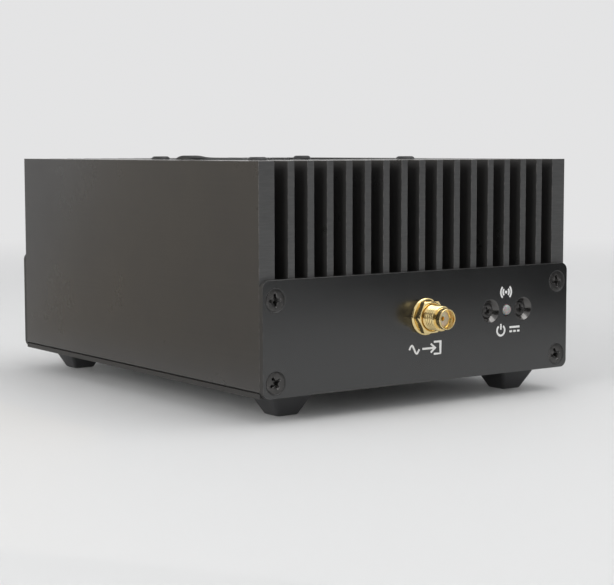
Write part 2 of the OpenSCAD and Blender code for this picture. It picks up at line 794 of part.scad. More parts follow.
module blade() {
    row = blade_steps + 1;
    below = row * (blade_spans + 1);
    points = [for (side = [1, -1]) for (i = [0:blade_spans]) for (j = [0:blade_steps])
        blade_point(i / blade_spans, j / blade_steps, side)];
    skins = [for (i = [0:blade_spans - 1]) for (j = [0:blade_steps - 1])
        let (a = i * row + j, b = a + 1, c = a + row + 1, d = a + row)
        each [[a, b, c], [a, c, d], [below + c, below + b, below + a], [below + d, below + c, below + a]]];
    tip = blade_spans * row;
    ends = [for (j = [0:blade_steps - 1])
        let (a = tip + j, b = a + 1)
        each [[j + 1, j, below + j, below + j + 1], [a, b, below + b, below + a]]];
    edges = [for (i = [0:blade_spans - 1]) let (a = i * row, d = a + row, b = a + blade_steps, c = b + row)
        each [[a, d, below + d, below + a], [c, b, below + b, below + c]]];
    polyhedron(points, concat(skins, ends, edges));
}

module fan_rotor() color("#232427") at_fan() {
    difference() {
        union() {
            translate([0, 0, hub_floor_z]) cylinder(d = hub_d, h = seat_z - hub_rim_room - hub_floor_z);
            for (k = [0:blade_count - 1]) rotate(360 * k / blade_count) blade();
        }
        translate([0, 0, hub_floor_z + hub_wall]) difference() {
            cylinder(d = hub_d - 2 * hub_wall, h = fan_t);
            translate([0, 0, -cut]) cylinder(d = boss_d, h = boss_z - hub_floor_z - hub_wall + cut);
        }
        translate([0, 0, hub_floor_z + hub_wall / 2]) cylinder(d = shaft_d, h = fan_t);
    }
}

module fan_magnet() color("#4a4a4d") at_fan()
    translate([0, 0, hub_floor_z + hub_wall]) ring(magnet_d, magnet_d - 2 * magnet_t, magnet_l);

module fan_shaft() color("#c9c9cc") at_fan() {
    low = hub_floor_z + hub_wall / 2;
    translate([0, 0, low]) cylinder(d = shaft_d, h = seat_z - shaft_end - low);
}

module fan_clip() color("#4a4a4d") at_fan()
    translate([0, 0, seat_z - bearing_drop + clip_room]) ring(clip_d, shaft_d, clip_t);

module fan_screws() color("#3a3a3c") at_fan() at_points(fan_points)
    pan_screw(fan_z - web_z - fan_screw_floor);

module fan_lead() color("#161616") lead(fan_lead_route, lead_r);

module fan_header() color("#e8e6dc")
    translate([header_x, lead_y - header_size.y / 2, board_z - header_size.z]) cube(header_size);

// Circuit board and what it carries, with its face down
module rf_board() color("#2f5d3a") translate([0, 0, board_z]) difference() {
    translate([-board_w / 2, -board_l / 2, 0]) cube([board_w, board_l, board_t]);
    translate([0, 0, -cut]) {
        at_points(board_points) cylinder(d = m3_free, h = board_t + 2 * cut);
        translate([lead_x, lead_y, 0]) cylinder(r = lead_r + board_lead_room, h = board_t + 2 * cut);
        translate([-spreader_w / 2 - cutout_room, -spreader_l / 2 - cutout_room, 0])
            cube([spreader_w + 2 * cutout_room, spreader_l + 2 * cutout_room, board_t + 2 * cut]);
    }
}

module board_spacers() color("#c9c9cc") at_points(board_points)
    translate([0, 0, board_z + board_t]) ring(board_spacer_d, m3_free, web_z - board_z - board_t);

module board_screws() color("#c9c9cc") translate([0, 0, board_z]) mirror([0, 0, 1])
    at_points(board_points) pan_screw(web_z - board_z + board_grip);

module heat_spreader() color("#b4683a") {
    low = flange_z + flange_t;
    difference() {
        translate([-spreader_w / 2, -spreader_l / 2, low]) cube([spreader_w, spreader_l, web_z - low]);
        translate([0, 0, low - cut]) at_points(transistor_points)
            cylinder(d = m3_free, h = web_z - low + 2 * cut);
    }
}

module transistor_flange() color("#c8a24a") translate([0, 0, flange_z]) difference() {
    translate([-flange_w / 2, -flange_l / 2, 0]) cube([flange_w, flange_l, flange_t]);
    translate([0, 0, -cut]) at_points(transistor_points) cylinder(d = m3_free, h = flange_t + 2 * cut);
}

module transistor_lid() color("#ece9e2")
    translate([-lid_w / 2, -lid_l / 2, flange_z - lid_h]) cube([lid_w, lid_l, lid_h]);

module transistor_leads() color("#c8a24a")
    for (sx = [-1, 1]) for (sy = [0, 1]) mirror([0, sy, 0])
        translate([sx * tab_step / 2 - tab_w / 2, lid_l / 2, board_z - tab_t])
            cube([tab_w, tab_end - lid_l / 2, tab_t]);

module transistor_screws() color("#c9c9cc") translate([0, 0, flange_z]) mirror([0, 0, 1])
    at_points(transistor_points) pan_screw(web_z - flange_z + board_grip);

// A block seated on the face of the board, hanging from it
module on_board(size, x, y) translate([x - size.x / 2, y - size.y / 2, board_z - size.z]) cube(size);

module driver_amplifier() color("#1d1d1e") on_board(driver_size, 0, driver_y);

module bias_regulator() color("#1d1d1e") {
    on_board(regulator_size, regulator_at.x, regulator_at.y);
    on_board([regulator_size.x, regulator_tab_l, regulator_tab_t], regulator_at.x,
        regulator_at.y + (regulator_size.y + regulator_tab_l) / 2);
}

module input_relay() color("#d8d4c4") on_board(relay_size, 0, input_relay_y);
module output_relay() color("#d8d4c4") on_board(relay_size, output_x, output_relay_y);

function coil_route(y) = concat(
    [[-coil_turns * coil_step / 2, y + coil_r, board_z]],
    [for (k = [0:coil_turns * coil_rings]) let (a = 360 * k / coil_rings)
        [coil_step * (k / coil_rings - coil_turns / 2), y + coil_r * cos(a), coil_z - coil_r * sin(a)]],
    [[coil_turns * coil_step / 2, y - coil_r, board_z]]);

// Least gap of a coil to itself, measured on points at least half a turn apart
function least_gap(p) = min([for (i = [0:len(p) - 1]) for (j = [i + coil_rings / 2:1:len(p) - 1])
    norm(p[i] - p[j])]) - 2 * wire_r;
echo(coil_gap = least_gap(coil_route(coil_y[0])));

module filter_coils() color("#b86a35") for (y = coil_y) tube(coil_route(y), wire_r, 6);

module filter_capacitors() color("#c9b48a")
    for (s = [-1, 1]) for (y = chip_y) on_board(chip_size, s * chip_x, y);

module supply_capacitors() color("#2b3a5c")
    for (y = supply_cap_y) translate([socket_x, y, board_z - supply_cap_h])
        cylinder(d = supply_cap_d, h = supply_cap_h);

module supply_leads() color("#a02a2a") {
    lead(supply_route(socket_z, plus_run, plus_bend), supply_lead_r);
    lead(supply_route(tag_z, minus_run, minus_bend), supply_lead_r);
}

heatsink_body();
front_plate();
rear_plate();
bottom_plate();
end_plate_screws();
bottom_plate_screws();
foot_front_left();
foot_front_right();
foot_rear_left();
foot_rear_right();
input_jack_shell();
input_jack_nut();
input_jack_washer();
input_jack_insulator();
input_jack_contact();
output_jack_shell();
output_jack_nut();
output_jack_washer();
output_jack_insulator();
output_jack_contact();
power_socket();
power_socket_nut();
power_socket_sleeve();
power_socket_pin();
lamp();
lamp_legs();
lamp_board();
lamp_spacers();
lamp_screws();
lamp_nuts();
lamp_leads();
fan_frame();
fan_spider();
fan_bearing();
fan_stator();
fan_windings();
fan_board();
fan_rotor();
fan_magnet();
fan_shaft();
fan_clip();
fan_screws();
fan_lead();
fan_header();
rf_board();
board_spacers();
board_screws();
heat_spreader();
transistor_flange();
transistor_lid();
transistor_leads();
transistor_screws();
driver_amplifier();
bias_regulator();
input_relay();
output_relay();
filter_coils();
filter_capacitors();
supply_capacitors();
supply_leads();
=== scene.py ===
import json
from math import copysign, cos, pi, radians, sin, tan

import bmesh
import bpy
from mathutils import Matrix, Vector


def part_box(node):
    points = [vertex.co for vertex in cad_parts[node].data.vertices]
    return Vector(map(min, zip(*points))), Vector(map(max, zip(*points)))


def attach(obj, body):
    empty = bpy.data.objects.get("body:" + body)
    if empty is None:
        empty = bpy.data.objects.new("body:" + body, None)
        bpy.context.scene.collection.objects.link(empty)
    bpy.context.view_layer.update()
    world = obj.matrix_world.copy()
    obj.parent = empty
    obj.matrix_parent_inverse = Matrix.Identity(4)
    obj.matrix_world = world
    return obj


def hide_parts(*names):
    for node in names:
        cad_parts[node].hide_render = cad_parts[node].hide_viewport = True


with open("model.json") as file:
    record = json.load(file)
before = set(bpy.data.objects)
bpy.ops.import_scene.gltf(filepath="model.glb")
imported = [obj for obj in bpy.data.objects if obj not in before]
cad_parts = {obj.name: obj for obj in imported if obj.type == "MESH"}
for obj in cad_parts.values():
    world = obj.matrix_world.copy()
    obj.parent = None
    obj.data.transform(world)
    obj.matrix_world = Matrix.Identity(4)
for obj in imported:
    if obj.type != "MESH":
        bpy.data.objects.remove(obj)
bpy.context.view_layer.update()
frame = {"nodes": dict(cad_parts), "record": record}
cadNodes = frame["nodes"]
scene = bpy.context.scene
scene.view_settings.view_transform = "Standard"
mm = 0.001
print("frame:", len(cadNodes), "nodes")


def pick(size, *keys):
    return [size[key] for key in keys]


def addObject(name, data):
    added = bpy.data.objects.new(name, data)
    scene.collection.objects.link(added)
    return added


photoCamera = {
    "place": (-258.13, -371.49, 65.57),  # mm
    "yaw": 35.707,  # degrees from the rear towards the right
    "pitch": 5.221,  # degrees down
    "roll": -0.096,
    "sensor": 36,  # mm
    "lens": 92.817,
    "clip": (0.01, 100),  # metres
}


def makeCamera(look):
    yaw, pitch, roll = map(radians, pick(look, "yaw", "pitch", "roll"))
    ahead = Vector((sin(yaw) * cos(pitch), cos(yaw) * cos(pitch), -sin(pitch)))
    right = Vector((cos(yaw), -sin(yaw), 0))
    up = right.cross(ahead)
    side = right * cos(roll) + up * sin(roll)
    top = up * cos(roll) - right * sin(roll)
    data = bpy.data.cameras.new("photoCamera")
    data.sensor_fit, data.sensor_width, data.lens = "HORIZONTAL", look["sensor"], look["lens"]
    data.clip_start, data.clip_end = look["clip"]
    turn = Matrix((side, top, -ahead)).transposed().to_4x4()
    scene.camera = addObject("photoCamera", data)
    scene.camera.matrix_world = Matrix.Translation(Vector(look["place"]) * mm) @ turn


makeCamera(photoCamera)
print("camera: set at the photograph's angle")


# Shader building
def addNode(tree, kind, inputs=None, **settings):
    node = tree.nodes.new("ShaderNode" + kind)
    for key, value in settings.items():
        setattr(node, key, value)
    for key, value in (inputs or {}).items():
        if isinstance(value, bpy.types.NodeSocket):
            tree.links.new(value, node.inputs[key])
        else:
            node.inputs[key].default_value = value
    return node


def addMath(tree, operation, *values, clamp=False):
    node = addNode(tree, "Math", dict(enumerate(values)), operation=operation, use_clamp=clamp)
    return node.outputs[0]


# from nothing at the low value to all at the high one
def addRamp(tree, value, low, high):
    inputs = {0: value, 1: low, 2: high}
    return addNode(tree, "MapRange", inputs, interpolation_type="SMOOTHSTEP").outputs[0]


# how far a surface faces along an axis
def addFacing(tree, axis, normal="Normal"):
    facing = addNode(tree, "NewGeometry").outputs[normal]
    return addNode(tree, "SeparateXYZ", {0: facing}).outputs[axis]


def opaque(colour):
    return (*colour, 1.0) if isinstance(colour, tuple) else colour


# sockets 6 and 7 of a Mix node are its colours, and 2 is the colour that comes out
def mixColours(tree, factor, first, second):
    inputs = {0: factor, 6: opaque(first), 7: opaque(second)}
    return addNode(tree, "Mix", inputs, data_type="RGBA").outputs[2]


def tint(colour, share, lift=0.0):
    return tuple(min(1, value * share + lift) for value in colour)


def newMaterial(name, values):
    material = bpy.data.materials.new(name)
    material.use_nodes = True
    tree = material.node_tree
    shader = tree.nodes["Principled BSDF"]
    for label, value in values.items():
        shader.inputs[label].default_value = value
    return material, tree, shader


def addNoise(tree, scale, detail, roughness=0.5, place=None):
    if place is None:
        place = addNode(tree, "TexCoord").outputs["Object"]
    inputs = {"Vector": place, "Scale": scale, "Detail": detail, "Roughness": roughness}
    return addNode(tree, "TexNoise", inputs).outputs[0]


def startGroup(name, inputs, outputs):
    group = bpy.data.node_groups.new(name, "ShaderNodeTree")
    for label, value in inputs.items():
        socket = group.interface.new_socket(label, in_out="INPUT", socket_type="NodeSocketFloat")
        socket.default_value = value
    for label in outputs:
        group.interface.new_socket(label, in_out="OUTPUT", socket_type="NodeSocketFloat")
    return group, group.nodes.new("NodeGroupInput").outputs, group.nodes.new("NodeGroupOutput").inputs


def placeGroup(tree, group, **values):
    node = tree.nodes.new("ShaderNodeGroup")
    node.node_tree = group
    for label, value in values.items():
        node.inputs[label].default_value = value
    return node.outputs


lineAxes = ("Across X", "Across Y", "Across Z")
grainShares = {"finer": 2.7, "coarse": 0.4, "fine": 0.6}
ramps = {  # where each mask begins and where it is full
    "patches": (0.3, 0.7), "lines": (0.25, 0.75), "edges": (0.99, 0.9), "rubbed": (0.42, 0.62),
    "dusty": (0.5, 0.95), "specks": (0.4, 0.8), "ends": (0.6, 0.9), "upward": (0.6, 0.95),
    "leaning": (0.2, 0.35), "notFlat": (0.985, 0.95),
}


# fine tooth of a surface: a soft value and a height with a finer tooth on it
def makeGrainGroup():
    group, given, out = startGroup("fineGrain", {"Scale": 3000.0}, ("Value", "Height"))
    coarse = addNoise(group, given["Scale"], detail=3)
    fine = addNoise(group, addMath(group, "MULTIPLY", given["Scale"], grainShares["finer"]), detail=2)
    tooth = addMath(group, "MULTIPLY", fine, grainShares["fine"])
    group.links.new(coarse, out["Value"])
    group.links.new(addMath(group, "MULTIPLY_ADD", coarse, grainShares["coarse"], tooth), out["Height"])
    return group


# broad uneven patches left by handling and by the dye bath
def makePatchGroup():
    group, given, out = startGroup("handledPatches", {"Scale": 60.0}, ("Value",))
    noise = addNoise(group, given["Scale"], detail=5, roughness=0.6)
    group.links.new(addRamp(group, noise, *ramps["patches"]), out["Value"])
    return group


# lines left by a die, a saw or a brush, long where the scale is low
def makeLineGroup():
    group, given, out = startGroup("toolLines", dict.fromkeys(lineAxes, 1.0), ("Value",))
    place = addNode(group, "TexCoord").outputs["Object"]
    scale = addNode(group, "CombineXYZ", {k: given[label] for k, label in enumerate(lineAxes)})
    stretched = addNode(group, "VectorMath", {0: place, 1: scale.outputs[0]}, operation="MULTIPLY")
    noise = addNoise(group, 1, detail=3, roughness=0.65, place=stretched.outputs[0])
    group.links.new(addRamp(group, noise, *ramps["lines"]), out["Value"])
    return group


# where edges have rubbed through, broken up so that no edge is worn evenly
def makeWearGroup():
    group, given, out = startGroup("edgeWear", {"Radius": 0.0003, "Amount": 0.5, "Breakup": 700.0}, ("Mask",))
    rounded = addNode(group, "Bevel", {"Radius": given["Radius"]}, samples=6).outputs[0]
    facing = addNode(group, "NewGeometry").outputs["Normal"]
    alike = addNode(group, "VectorMath", {0: rounded, 1: facing}, operation="DOT_PRODUCT").outputs["Value"]
    edge = addRamp(group, alike, *ramps["edges"])
    broken = addRamp(group, addNoise(group, given["Breakup"], detail=4), *ramps["rubbed"])
    mask = addMath(group, "MULTIPLY", edge, broken)
    group.links.new(addMath(group, "MULTIPLY", mask, given["Amount"]), out["Mask"])
    return group


# dust that settles on what faces up
def makeDustGroup():
    group, given, out = startGroup("restingDust", {"Amount": 0.1, "Scale": 1400.0}, ("Mask",))
    upward = addRamp(group, addFacing(group, 2), *ramps["dusty"])
    specks = addRamp(group, addNoise(group, given["Scale"], detail=6, roughness=0.7), *ramps["specks"])
    mask = addMath(group, "MULTIPLY", upward, specks)
    group.links.new(addMath(group, "MULTIPLY", mask, given["Amount"]), out["Mask"])
    return group


grainGroup, patchGroup, lineGroup = makeGrainGroup(), makePatchGroup(), makeLineGroup()
wearGroup, dustGroup = makeWearGroup(), makeDustGroup()
print("groups: grain, patches, lines, wear, dust")

plainLook = {  # what a look leaves unsaid; lengths in metres
    "patch": 400, "grain": 4000, "tooth": 0.2, "depth": 0.00002, "metallic": 0, "ior": 1.5,
    "wearRadius": 0.0003, "sockets": {},
}
dustColour = (0.42, 0.41, 0.39)
glossTones = {"grainShare": 0.5, "roughest": 1.5, "leastRough": 0.06, "topFlattening": 0.9}


# one finish: two tones in patches, wear on the edges, dust, uneven gloss and a fine tooth, and where asked a
# painted pale highlight along upward-leaning upper edges
def makeFinish(name, look):
    look = {**plainLook, **look}
    values = {"Metallic": look["metallic"], "IOR": look["ior"], **look["sockets"]}
    material, tree, shader = newMaterial(name, values)
    grain = placeGroup(tree, grainGroup, Scale=look["grain"])
    patches = placeGroup(tree, patchGroup, Scale=look["patch"])
    colour = mixColours(tree, patches["Value"], look["colour"], look["shade"])
    height = grain["Height"]
    tone = addMath(tree, "MULTIPLY_ADD", grain["Value"], glossTones["grainShare"], patches["Value"])
    if "lines" in look:
        lines = placeGroup(tree, lineGroup, **dict(zip(lineAxes, look["lines"])))["Value"]
        height = addMath(tree, "MULTIPLY_ADD", lines, look["lineHeight"], height)
        lineMask = addMath(tree, "MULTIPLY", lines, look["lineTone"])
        colour = mixColours(tree, lineMask, colour, look["lineColour"])
    if "ends" in look:  # sawn across the extrusion, so rougher and paler than the drawn faces
        along = addMath(tree, "ABSOLUTE", addFacing(tree, 1))
        endMask = addRamp(tree, along, *ramps["ends"])
        saw = placeGroup(tree, lineGroup, **dict(zip(lineAxes, look["endLines"])))["Value"]
        endColour = mixColours(tree, saw, look["ends"], look["endShade"])
        colour = mixColours(tree, endMask, colour, endColour)
        tone = addMath(tree, "MULTIPLY_ADD", endMask, look["endRough"], tone)
    if "topGloss" in look:  # rubbed smooth where it faces up, with a painted pale highlight on the upward-leaning upper edges
        facing = addFacing(tree, 2, "True Normal")
        upward, leaning, notFlat = (
            addRamp(tree, facing, *ramps[key]) for key in ("upward", "leaning", "notFlat"))
        tone = addMath(tree, "MULTIPLY_ADD", upward, -look["topGloss"], tone)
        toothLeft = addMath(tree, "MULTIPLY_ADD", upward, -glossTones["topFlattening"], 1)
        height = addMath(tree, "MULTIPLY", height, toothLeft)
        slope = addMath(tree, "MULTIPLY", leaning, notFlat)
        # painted highlight: the upward-leaning upper edges are mixed towards a pale colour
        paintedEdgeHighlight = addMath(tree, "MULTIPLY", slope, look["topEdgeHighlight"])
        colour = mixColours(tree, paintedEdgeHighlight, colour, look["topEdgeHighlightColour"])
    if "wear" in look:
        wear = placeGroup(tree, wearGroup, Radius=look["wearRadius"], Amount=look["wear"])["Mask"]
        colour = mixColours(tree, wear, colour, look["wearColour"])
    if "dust" in look:
        dust = placeGroup(tree, dustGroup, Amount=look["dust"])["Mask"]
        colour = mixColours(tree, dust, colour, dustColour)
        tone = addMath(tree, "ADD", tone, dust)
    tree.links.new(colour, shader.inputs["Base Color"])
    low, high = look["rough"]
    inputs = {0: tone, 1: 0, 2: glossTones["roughest"], 3: low, 4: high}
    spread = addNode(tree, "MapRange", inputs, clamp=False).outputs[0]
    rough = addMath(tree, "MAXIMUM", spread, glossTones["leastRough"])
    tree.links.new(rough, shader.inputs["Roughness"])
    bump = addNode(tree, "Bump", {"Strength": look["tooth"], "Distance": look["depth"], "Height": height})
    tree.links.new(bump.outputs[0], shader.inputs["Normal"])
    return material


looks = {}
looks["black_anodised"] = {
    "colour": (0.034, 0.033, 0.032), "shade": (0.029, 0.028, 0.028), "patch": 35,
    "lines": (1500, 6, 1500), "lineHeight": 0.8, "lineTone": 0.35, "lineColour": (0.039, 0.038, 0.036),
    "ends": (0.088, 0.088, 0.087), "endShade": (0.067, 0.067, 0.067),
    "endLines": (260, 260, 2600), "endRough": 0.5,
    "rough": (0.24, 0.36), "grain": 5000, "depth": 0.000014, "topGloss": 3,
    "wear": 0.35, "wearColour": (0.30, 0.29, 0.28), "dust": 0.07,
    # the pale colour on the upward-leaning upper edges is a painted highlight
    "topEdgeHighlight": 0.8, "topEdgeHighlightColour": (0.62, 0.62, 0.60),
}
looks["plate_black"] = {
    "colour": (0.0075, 0.008, 0.008), "shade": (0.010, 0.0105, 0.0105), "patch": 30,
    "rough": (0.18, 0.24), "ior": 1.78, "grain": 7000, "depth": 0.00001,
    "wear": 0.3, "wearColour": (0.30, 0.29, 0.28), "dust": 0.12,
}
looks["cutEdge"] = {  # sheared edges of the plates, dyed over a rougher face
    "colour": (0.022, 0.021, 0.021), "shade": (0.026, 0.026, 0.025), "patch": 80,
    "rough": (0.40, 0.52), "ior": 1.45, "grain": 2200, "tooth": 0.3, "depth": 0.00003,
    "wear": 0.08, "wearColour": (0.30, 0.29, 0.28),
}
looks["sink"] = {  # deep cones cut for the lamp's screws
    "colour": (0.14, 0.136, 0.132), "shade": (0.11, 0.107, 0.105), "patch": 500,
    "rough": (0.15, 0.25), "metallic": 1,
}
looks["screw_black"] = {
    "colour": (0.105, 0.102, 0.100), "shade": (0.080, 0.078, 0.076),
    "rough": (0.24, 0.36), "metallic": 0.9, "tooth": 0.25,
    "wear": 0.9, "wearRadius": 0.00014, "wearColour": (0.62, 0.61, 0.60),
}
looks["fanScrew"] = {  # blackened and dull
    "colour": (0.020, 0.020, 0.021), "shade": (0.015, 0.015, 0.016),
    "rough": (0.42, 0.56), "metallic": 0.2, "tooth": 0.3,
    "wear": 0.25, "wearRadius": 0.00014, "wearColour": (0.20, 0.20, 0.20),
}
looks["foot_rubber"] = {
    "colour": (0.024, 0.024, 0.025), "shade": (0.031, 0.031, 0.033), "patch": 200,
    "rough": (0.40, 0.54), "ior": 1.52, "grain": 3500, "tooth": 0.35, "depth": 0.00003,
    "wear": 0.3, "wearColour": (0.05, 0.05, 0.05), "dust": 0.1,
}
looks["gold_plate"] = {
    "colour": (0.95, 0.76, 0.38), "shade": (0.92, 0.72, 0.34), "patch": 500,
    "rough": (0.13, 0.22), "metallic": 1, "grain": 5000, "tooth": 0.12, "depth": 0.00001,
    "wear": 0.3, "wearRadius": 0.0001, "wearColour": (0.96, 0.78, 0.42),
}
looks["white_insulator"] = {
    "colour": (0.80, 0.72, 0.60), "shade": (0.76, 0.67, 0.55), "patch": 500,
    "rough": (0.45, 0.6), "ior": 1.38, "tooth": 0.15,
    "sockets": {"Subsurface Weight": 0.3, "Subsurface Scale": 0.0006},
}
looks["lamp_lens"] = {
    "colour": (0.34, 0.34, 0.335), "shade": (0.30, 0.30, 0.295), "patch": 700,
    "rough": (0.12, 0.2), "ior": 1.54, "tooth": 0.05, "depth": 0.00001,
    "sockets": {"Subsurface Weight": 0.7, "Subsurface Scale": 0.0012},
}
looks["fan_plastic"] = {
    "colour": (0.012, 0.012, 0.013), "shade": (0.018, 0.018, 0.019), "patch": 90,
    "rough": (0.42, 0.56), "grain": 2200, "tooth": 0.35, "depth": 0.00004,
    "wear": 0.25, "wearColour": (0.06, 0.06, 0.06), "dust": 0.06,
}
looks["printedInk"] = {
    "colour": (0.92, 0.92, 0.90), "shade": (0.85, 0.85, 0.83), "patch": 900,
    "rough": (0.5, 0.65), "grain": 5000, "tooth": 0.3, "depth": 0.00001,
}
looks["board_green"] = {
    "colour": (0.018, 0.085, 0.034), "shade": (0.028, 0.12, 0.050), "patch": 120,
    "lines": (700, 60, 700), "lineHeight": 1, "lineTone": 0.5, "lineColour": (0.045, 0.16, 0.07),
    "rough": (0.25, 0.4), "grain": 1800, "tooth": 0.3, "depth": 0.00004,
}


# Plain looks of the lesser parts: moulded or fired, and drawn metal
def moulded(colour, rough=0.42):
    return {
        "colour": colour, "shade": tint(colour, 0.82), "patch": 220,
        "rough": (rough - 0.06, rough + 0.1), "grain": 2600, "tooth": 0.3, "depth": 0.00003,
        "wear": 0.2, "wearColour": tint(colour, 1.5, 0.02),
    }


def metal(colour, rough=0.3):
    return {
        "colour": colour, "shade": tint(colour, 0.88), "patch": 260,
        "rough": (rough - 0.08, rough + 0.1), "metallic": 1, "grain": 3600,
        "lines": (1800, 160, 1800), "lineHeight": 0.4, "lineTone": 0.2, "lineColour": tint(colour, 0.75),
    }


looks.update({
    "socket_plastic": moulded((0.016, 0.016, 0.017), 0.36),
    "tinned_metal": metal((0.66, 0.65, 0.63), 0.26),
    "wire_cover": moulded((0.30, 0.012, 0.010), 0.36),
    "fan_lead_cover": moulded((0.011, 0.011, 0.011), 0.5),
    "bearing_bronze": metal((0.55, 0.36, 0.16), 0.4),
    "core_steel": metal((0.32, 0.33, 0.34), 0.4),
    "magnet_dark": moulded((0.04, 0.04, 0.042), 0.5),
    "copper": metal((0.72, 0.33, 0.16), 0.28),
    "header_plastic": moulded((0.70, 0.68, 0.60)),
    "transistor_gold": metal((0.80, 0.58, 0.24)),
    "transistor_ceramic": moulded((0.76, 0.74, 0.70), 0.5),
    "chip_black": moulded((0.02, 0.02, 0.021), 0.5),
    "relay_case": moulded((0.60, 0.57, 0.46), 0.4),
    "chip_tan": moulded((0.48, 0.36, 0.20), 0.4),
    "capacitor_sleeve": moulded((0.018, 0.035, 0.10), 0.34),
})
finishes = {key: makeFinish(key + "Finish", look) for key, look in looks.items()}
print("finishes:", len(finishes))


# Mesh building, in millimetres on a face: U right, V up, W out of it
def faceAt(x, y, z, u, v):
    u, v = Vector(u), Vector(v)
    turn = Matrix((u, v, u.cross(v))).transposed() * mm
    return Matrix.Translation(Vector((x, y, z)) * mm) @ turn.to_4x4()


# lowest and highest corner of a solid, in millimetres
def solidBox(node):
    return [Vector([round(value / mm, 3) for value in corner]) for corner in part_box(node)]


def middleOf(node):
    low, high = solidBox(node)
    return (low + high) / 2


frontFace, rearFace = solidBox("front_plate")[0].y, solidBox("rear_plate")[1].y
underside, fanTop = solidBox("bottom_plate")[0].z, solidBox("fan_frame")[1].z
jackSpot, rearJackSpot = middleOf("input_jack_nut"), middleOf("output_jack_nut")
lampSpot, socketSpot = middleOf("lamp"), middleOf("power_socket")


def onFront(x, z):
    return faceAt(x, frontFace, z, (1, 0, 0), (0, 0, 1))


def onRear(x, z):
    return faceAt(x, rearFace, z, (-1, 0, 0), (0, 0, 1))


def onBottom(x, y):
    return faceAt(x, y, underside, (1, 0, 0), (0, -1, 0))


def onFan(x, y):
    return faceAt(x, y, fanTop, (1, 0, 0), (0, 1, 0))


def smoothMesh(bm, name, sharp=35):
    bmesh.ops.recalc_face_normals(bm, faces=bm.faces)
    mesh = bpy.data.meshes.new(name)
    bm.to_mesh(mesh)
    bm.free()
    mesh.polygons.foreach_set("use_smooth", [True] * len(mesh.polygons))
    mesh.set_sharp_from_angle(angle=radians(sharp))
    return mesh


def addPiece(name, mesh, slot, stands, body="amplifier", finish=None):
    piece = addObject(name, mesh)
    mesh.materials.clear()
    mesh.materials.append(finishes[finish or slot])
    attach(piece, body)
    if stands:
        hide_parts(*stands)
    return piece


# the weighted normals keep large faces flat between the broken edges
def breakEdges(piece, width, angle=32):
    bevel = piece.modifiers.new("brokenEdges", "BEVEL")
    bevel.width, bevel.segments = width * mm, 2
    bevel.limit_method, bevel.angle_limit = "ANGLE", radians(angle)
    bevel.use_clamp_overlap = True
    flat = piece.modifiers.new("flatFaces", "WEIGHTED_NORMAL")
    flat.mode, flat.weight, flat.keep_sharp = "FACE_AREA", 100, False


# a row of one point is a tip
def joinRows(bm, low, high, closed=True):
    count = max(len(low), len(high))
    for k in range(count if closed else count - 1):
        m = (k + 1) % count
        if len(low) == 1:
            bm.faces.new((low[0], high[k], high[m]))
        elif len(high) == 1:
            bm.faces.new((low[k], low[m], high[0]))
        else:
            bm.faces.new((low[k], low[m], high[m], high[k]))


# rings of points round W, joined row by row; a radius or height may be a function of the angle, and
# rows that don't start on the axis close on themselves
def turnRows(bm, rows, sides, place):
    rings = []
    for radius, height in rows:
        ring = []
        for k in range(1 if radius == 0 else sides):
            angle = 2 * pi * k / sides
            r = radius(angle) if callable(radius) else radius
            h = height(angle) if callable(height) else height
            ring.append(bm.verts.new(place @ Vector((r * cos(angle), r * sin(angle), h))))
        rings.append(ring)
    for low, high in zip(rings, rings[1:] if len(rings[0]) == 1 else rings[1:] + rings[:1]):
        joinRows(bm, low, high)
    return rings


def turnPiece(name, rows, sides, place, slot, node, sharp=40):
    bm = bmesh.new()
    turnRows(bm, rows, sides, place)
    return addPiece(name, smoothMesh(bm, name, sharp), slot, [node])


def sweepTube(bm, points, radius, sides=16):
    side = Vector((0.2, 1, 0.3))  # no route starts this way
    turns = [2 * pi * k / sides for k in range(sides)]
    rings = []
    for i, point in enumerate(points):
        heading = (points[min(i + 1, len(points) - 1)] - points[max(i - 1, 0)]).normalized()
        side = (side - heading * side.dot(heading)).normalized()
        other = heading.cross(side)
        spokes = [(side * cos(a) + other * sin(a)) * radius for a in turns]
        rings.append([bm.verts.new((point + spoke) * mm) for spoke in spokes])
    for low, high in zip(rings, rings[1:]):
        joinRows(bm, low, high)
    bm.faces.new(rings[0])
    bm.faces.new(rings[-1])


# corners rounded by cutting each off a quarter of the way along, three times over
def cutCorners(points):
    for _ in range(3):
        inner = []
        for low, high in zip(points, points[1:]):
            inner += [low.lerp(high, 0.25), low.lerp(high, 0.75)]
        points = [points[0], *inner, points[-1]]
    return points


weldReach = 0.002  # mm


# a solid's mesh with the corners of its triangles joined
def joinedMesh(node):
    bm = bmesh.new()
    bm.from_mesh(cadNodes[node].data)
    bmesh.ops.remove_doubles(bm, verts=bm.verts, dist=weldReach * mm)
    return bm


# centres of a node's separate solids, in millimetres
def solidCentres(node):
    bm = joinedMesh(node)
    left, centres = set(bm.verts), []
    while left:
        grown = [left.pop()]
        for vert in grown:  # the list grows as it is walked
            near = {edge.other_vert(vert) for edge in vert.link_edges} & left
            left -= near
            grown += near
        spans = [(min(values), max(values)) for values in zip(*(vert.co for vert in grown))]
        centres.append(Vector([round((low + high) / 2 / mm, 3) for low, high in spans]))
    bm.free()
    return sorted(centres, key=tuple)


# Case and plates: the solids with their edges broken as deburring leaves them
deburredPieces = {  # piece, broken edge in mm, and the axis through a plate's thickness
    "heatsink_body": ("finnedCase", 0.16, None),
    "front_plate": ("frontPlate", 0.14, 1),
    "rear_plate": ("rearPlate", 0.14, 1),
    "bottom_plate": ("bottomPlate", 0.12, 2),
    "fan_frame": ("fanFrame", 0.28, None),
    "fan_spider": ("fanSpider", 0.28, None),
}
lampScrewSpots = solidCentres("lamp_screws")
sinkReach = 3.2  # mm round a lamp screw
facingShares = {"flat": 0.95, "sunk": 0.3}  # least share of a face's normal along the plate's thickness
flatAngle = 0.6  # degrees between triangles of one flat face
slotOf = {row["node"]: row["material_slot"] for row in frame["record"]["subparts"]}


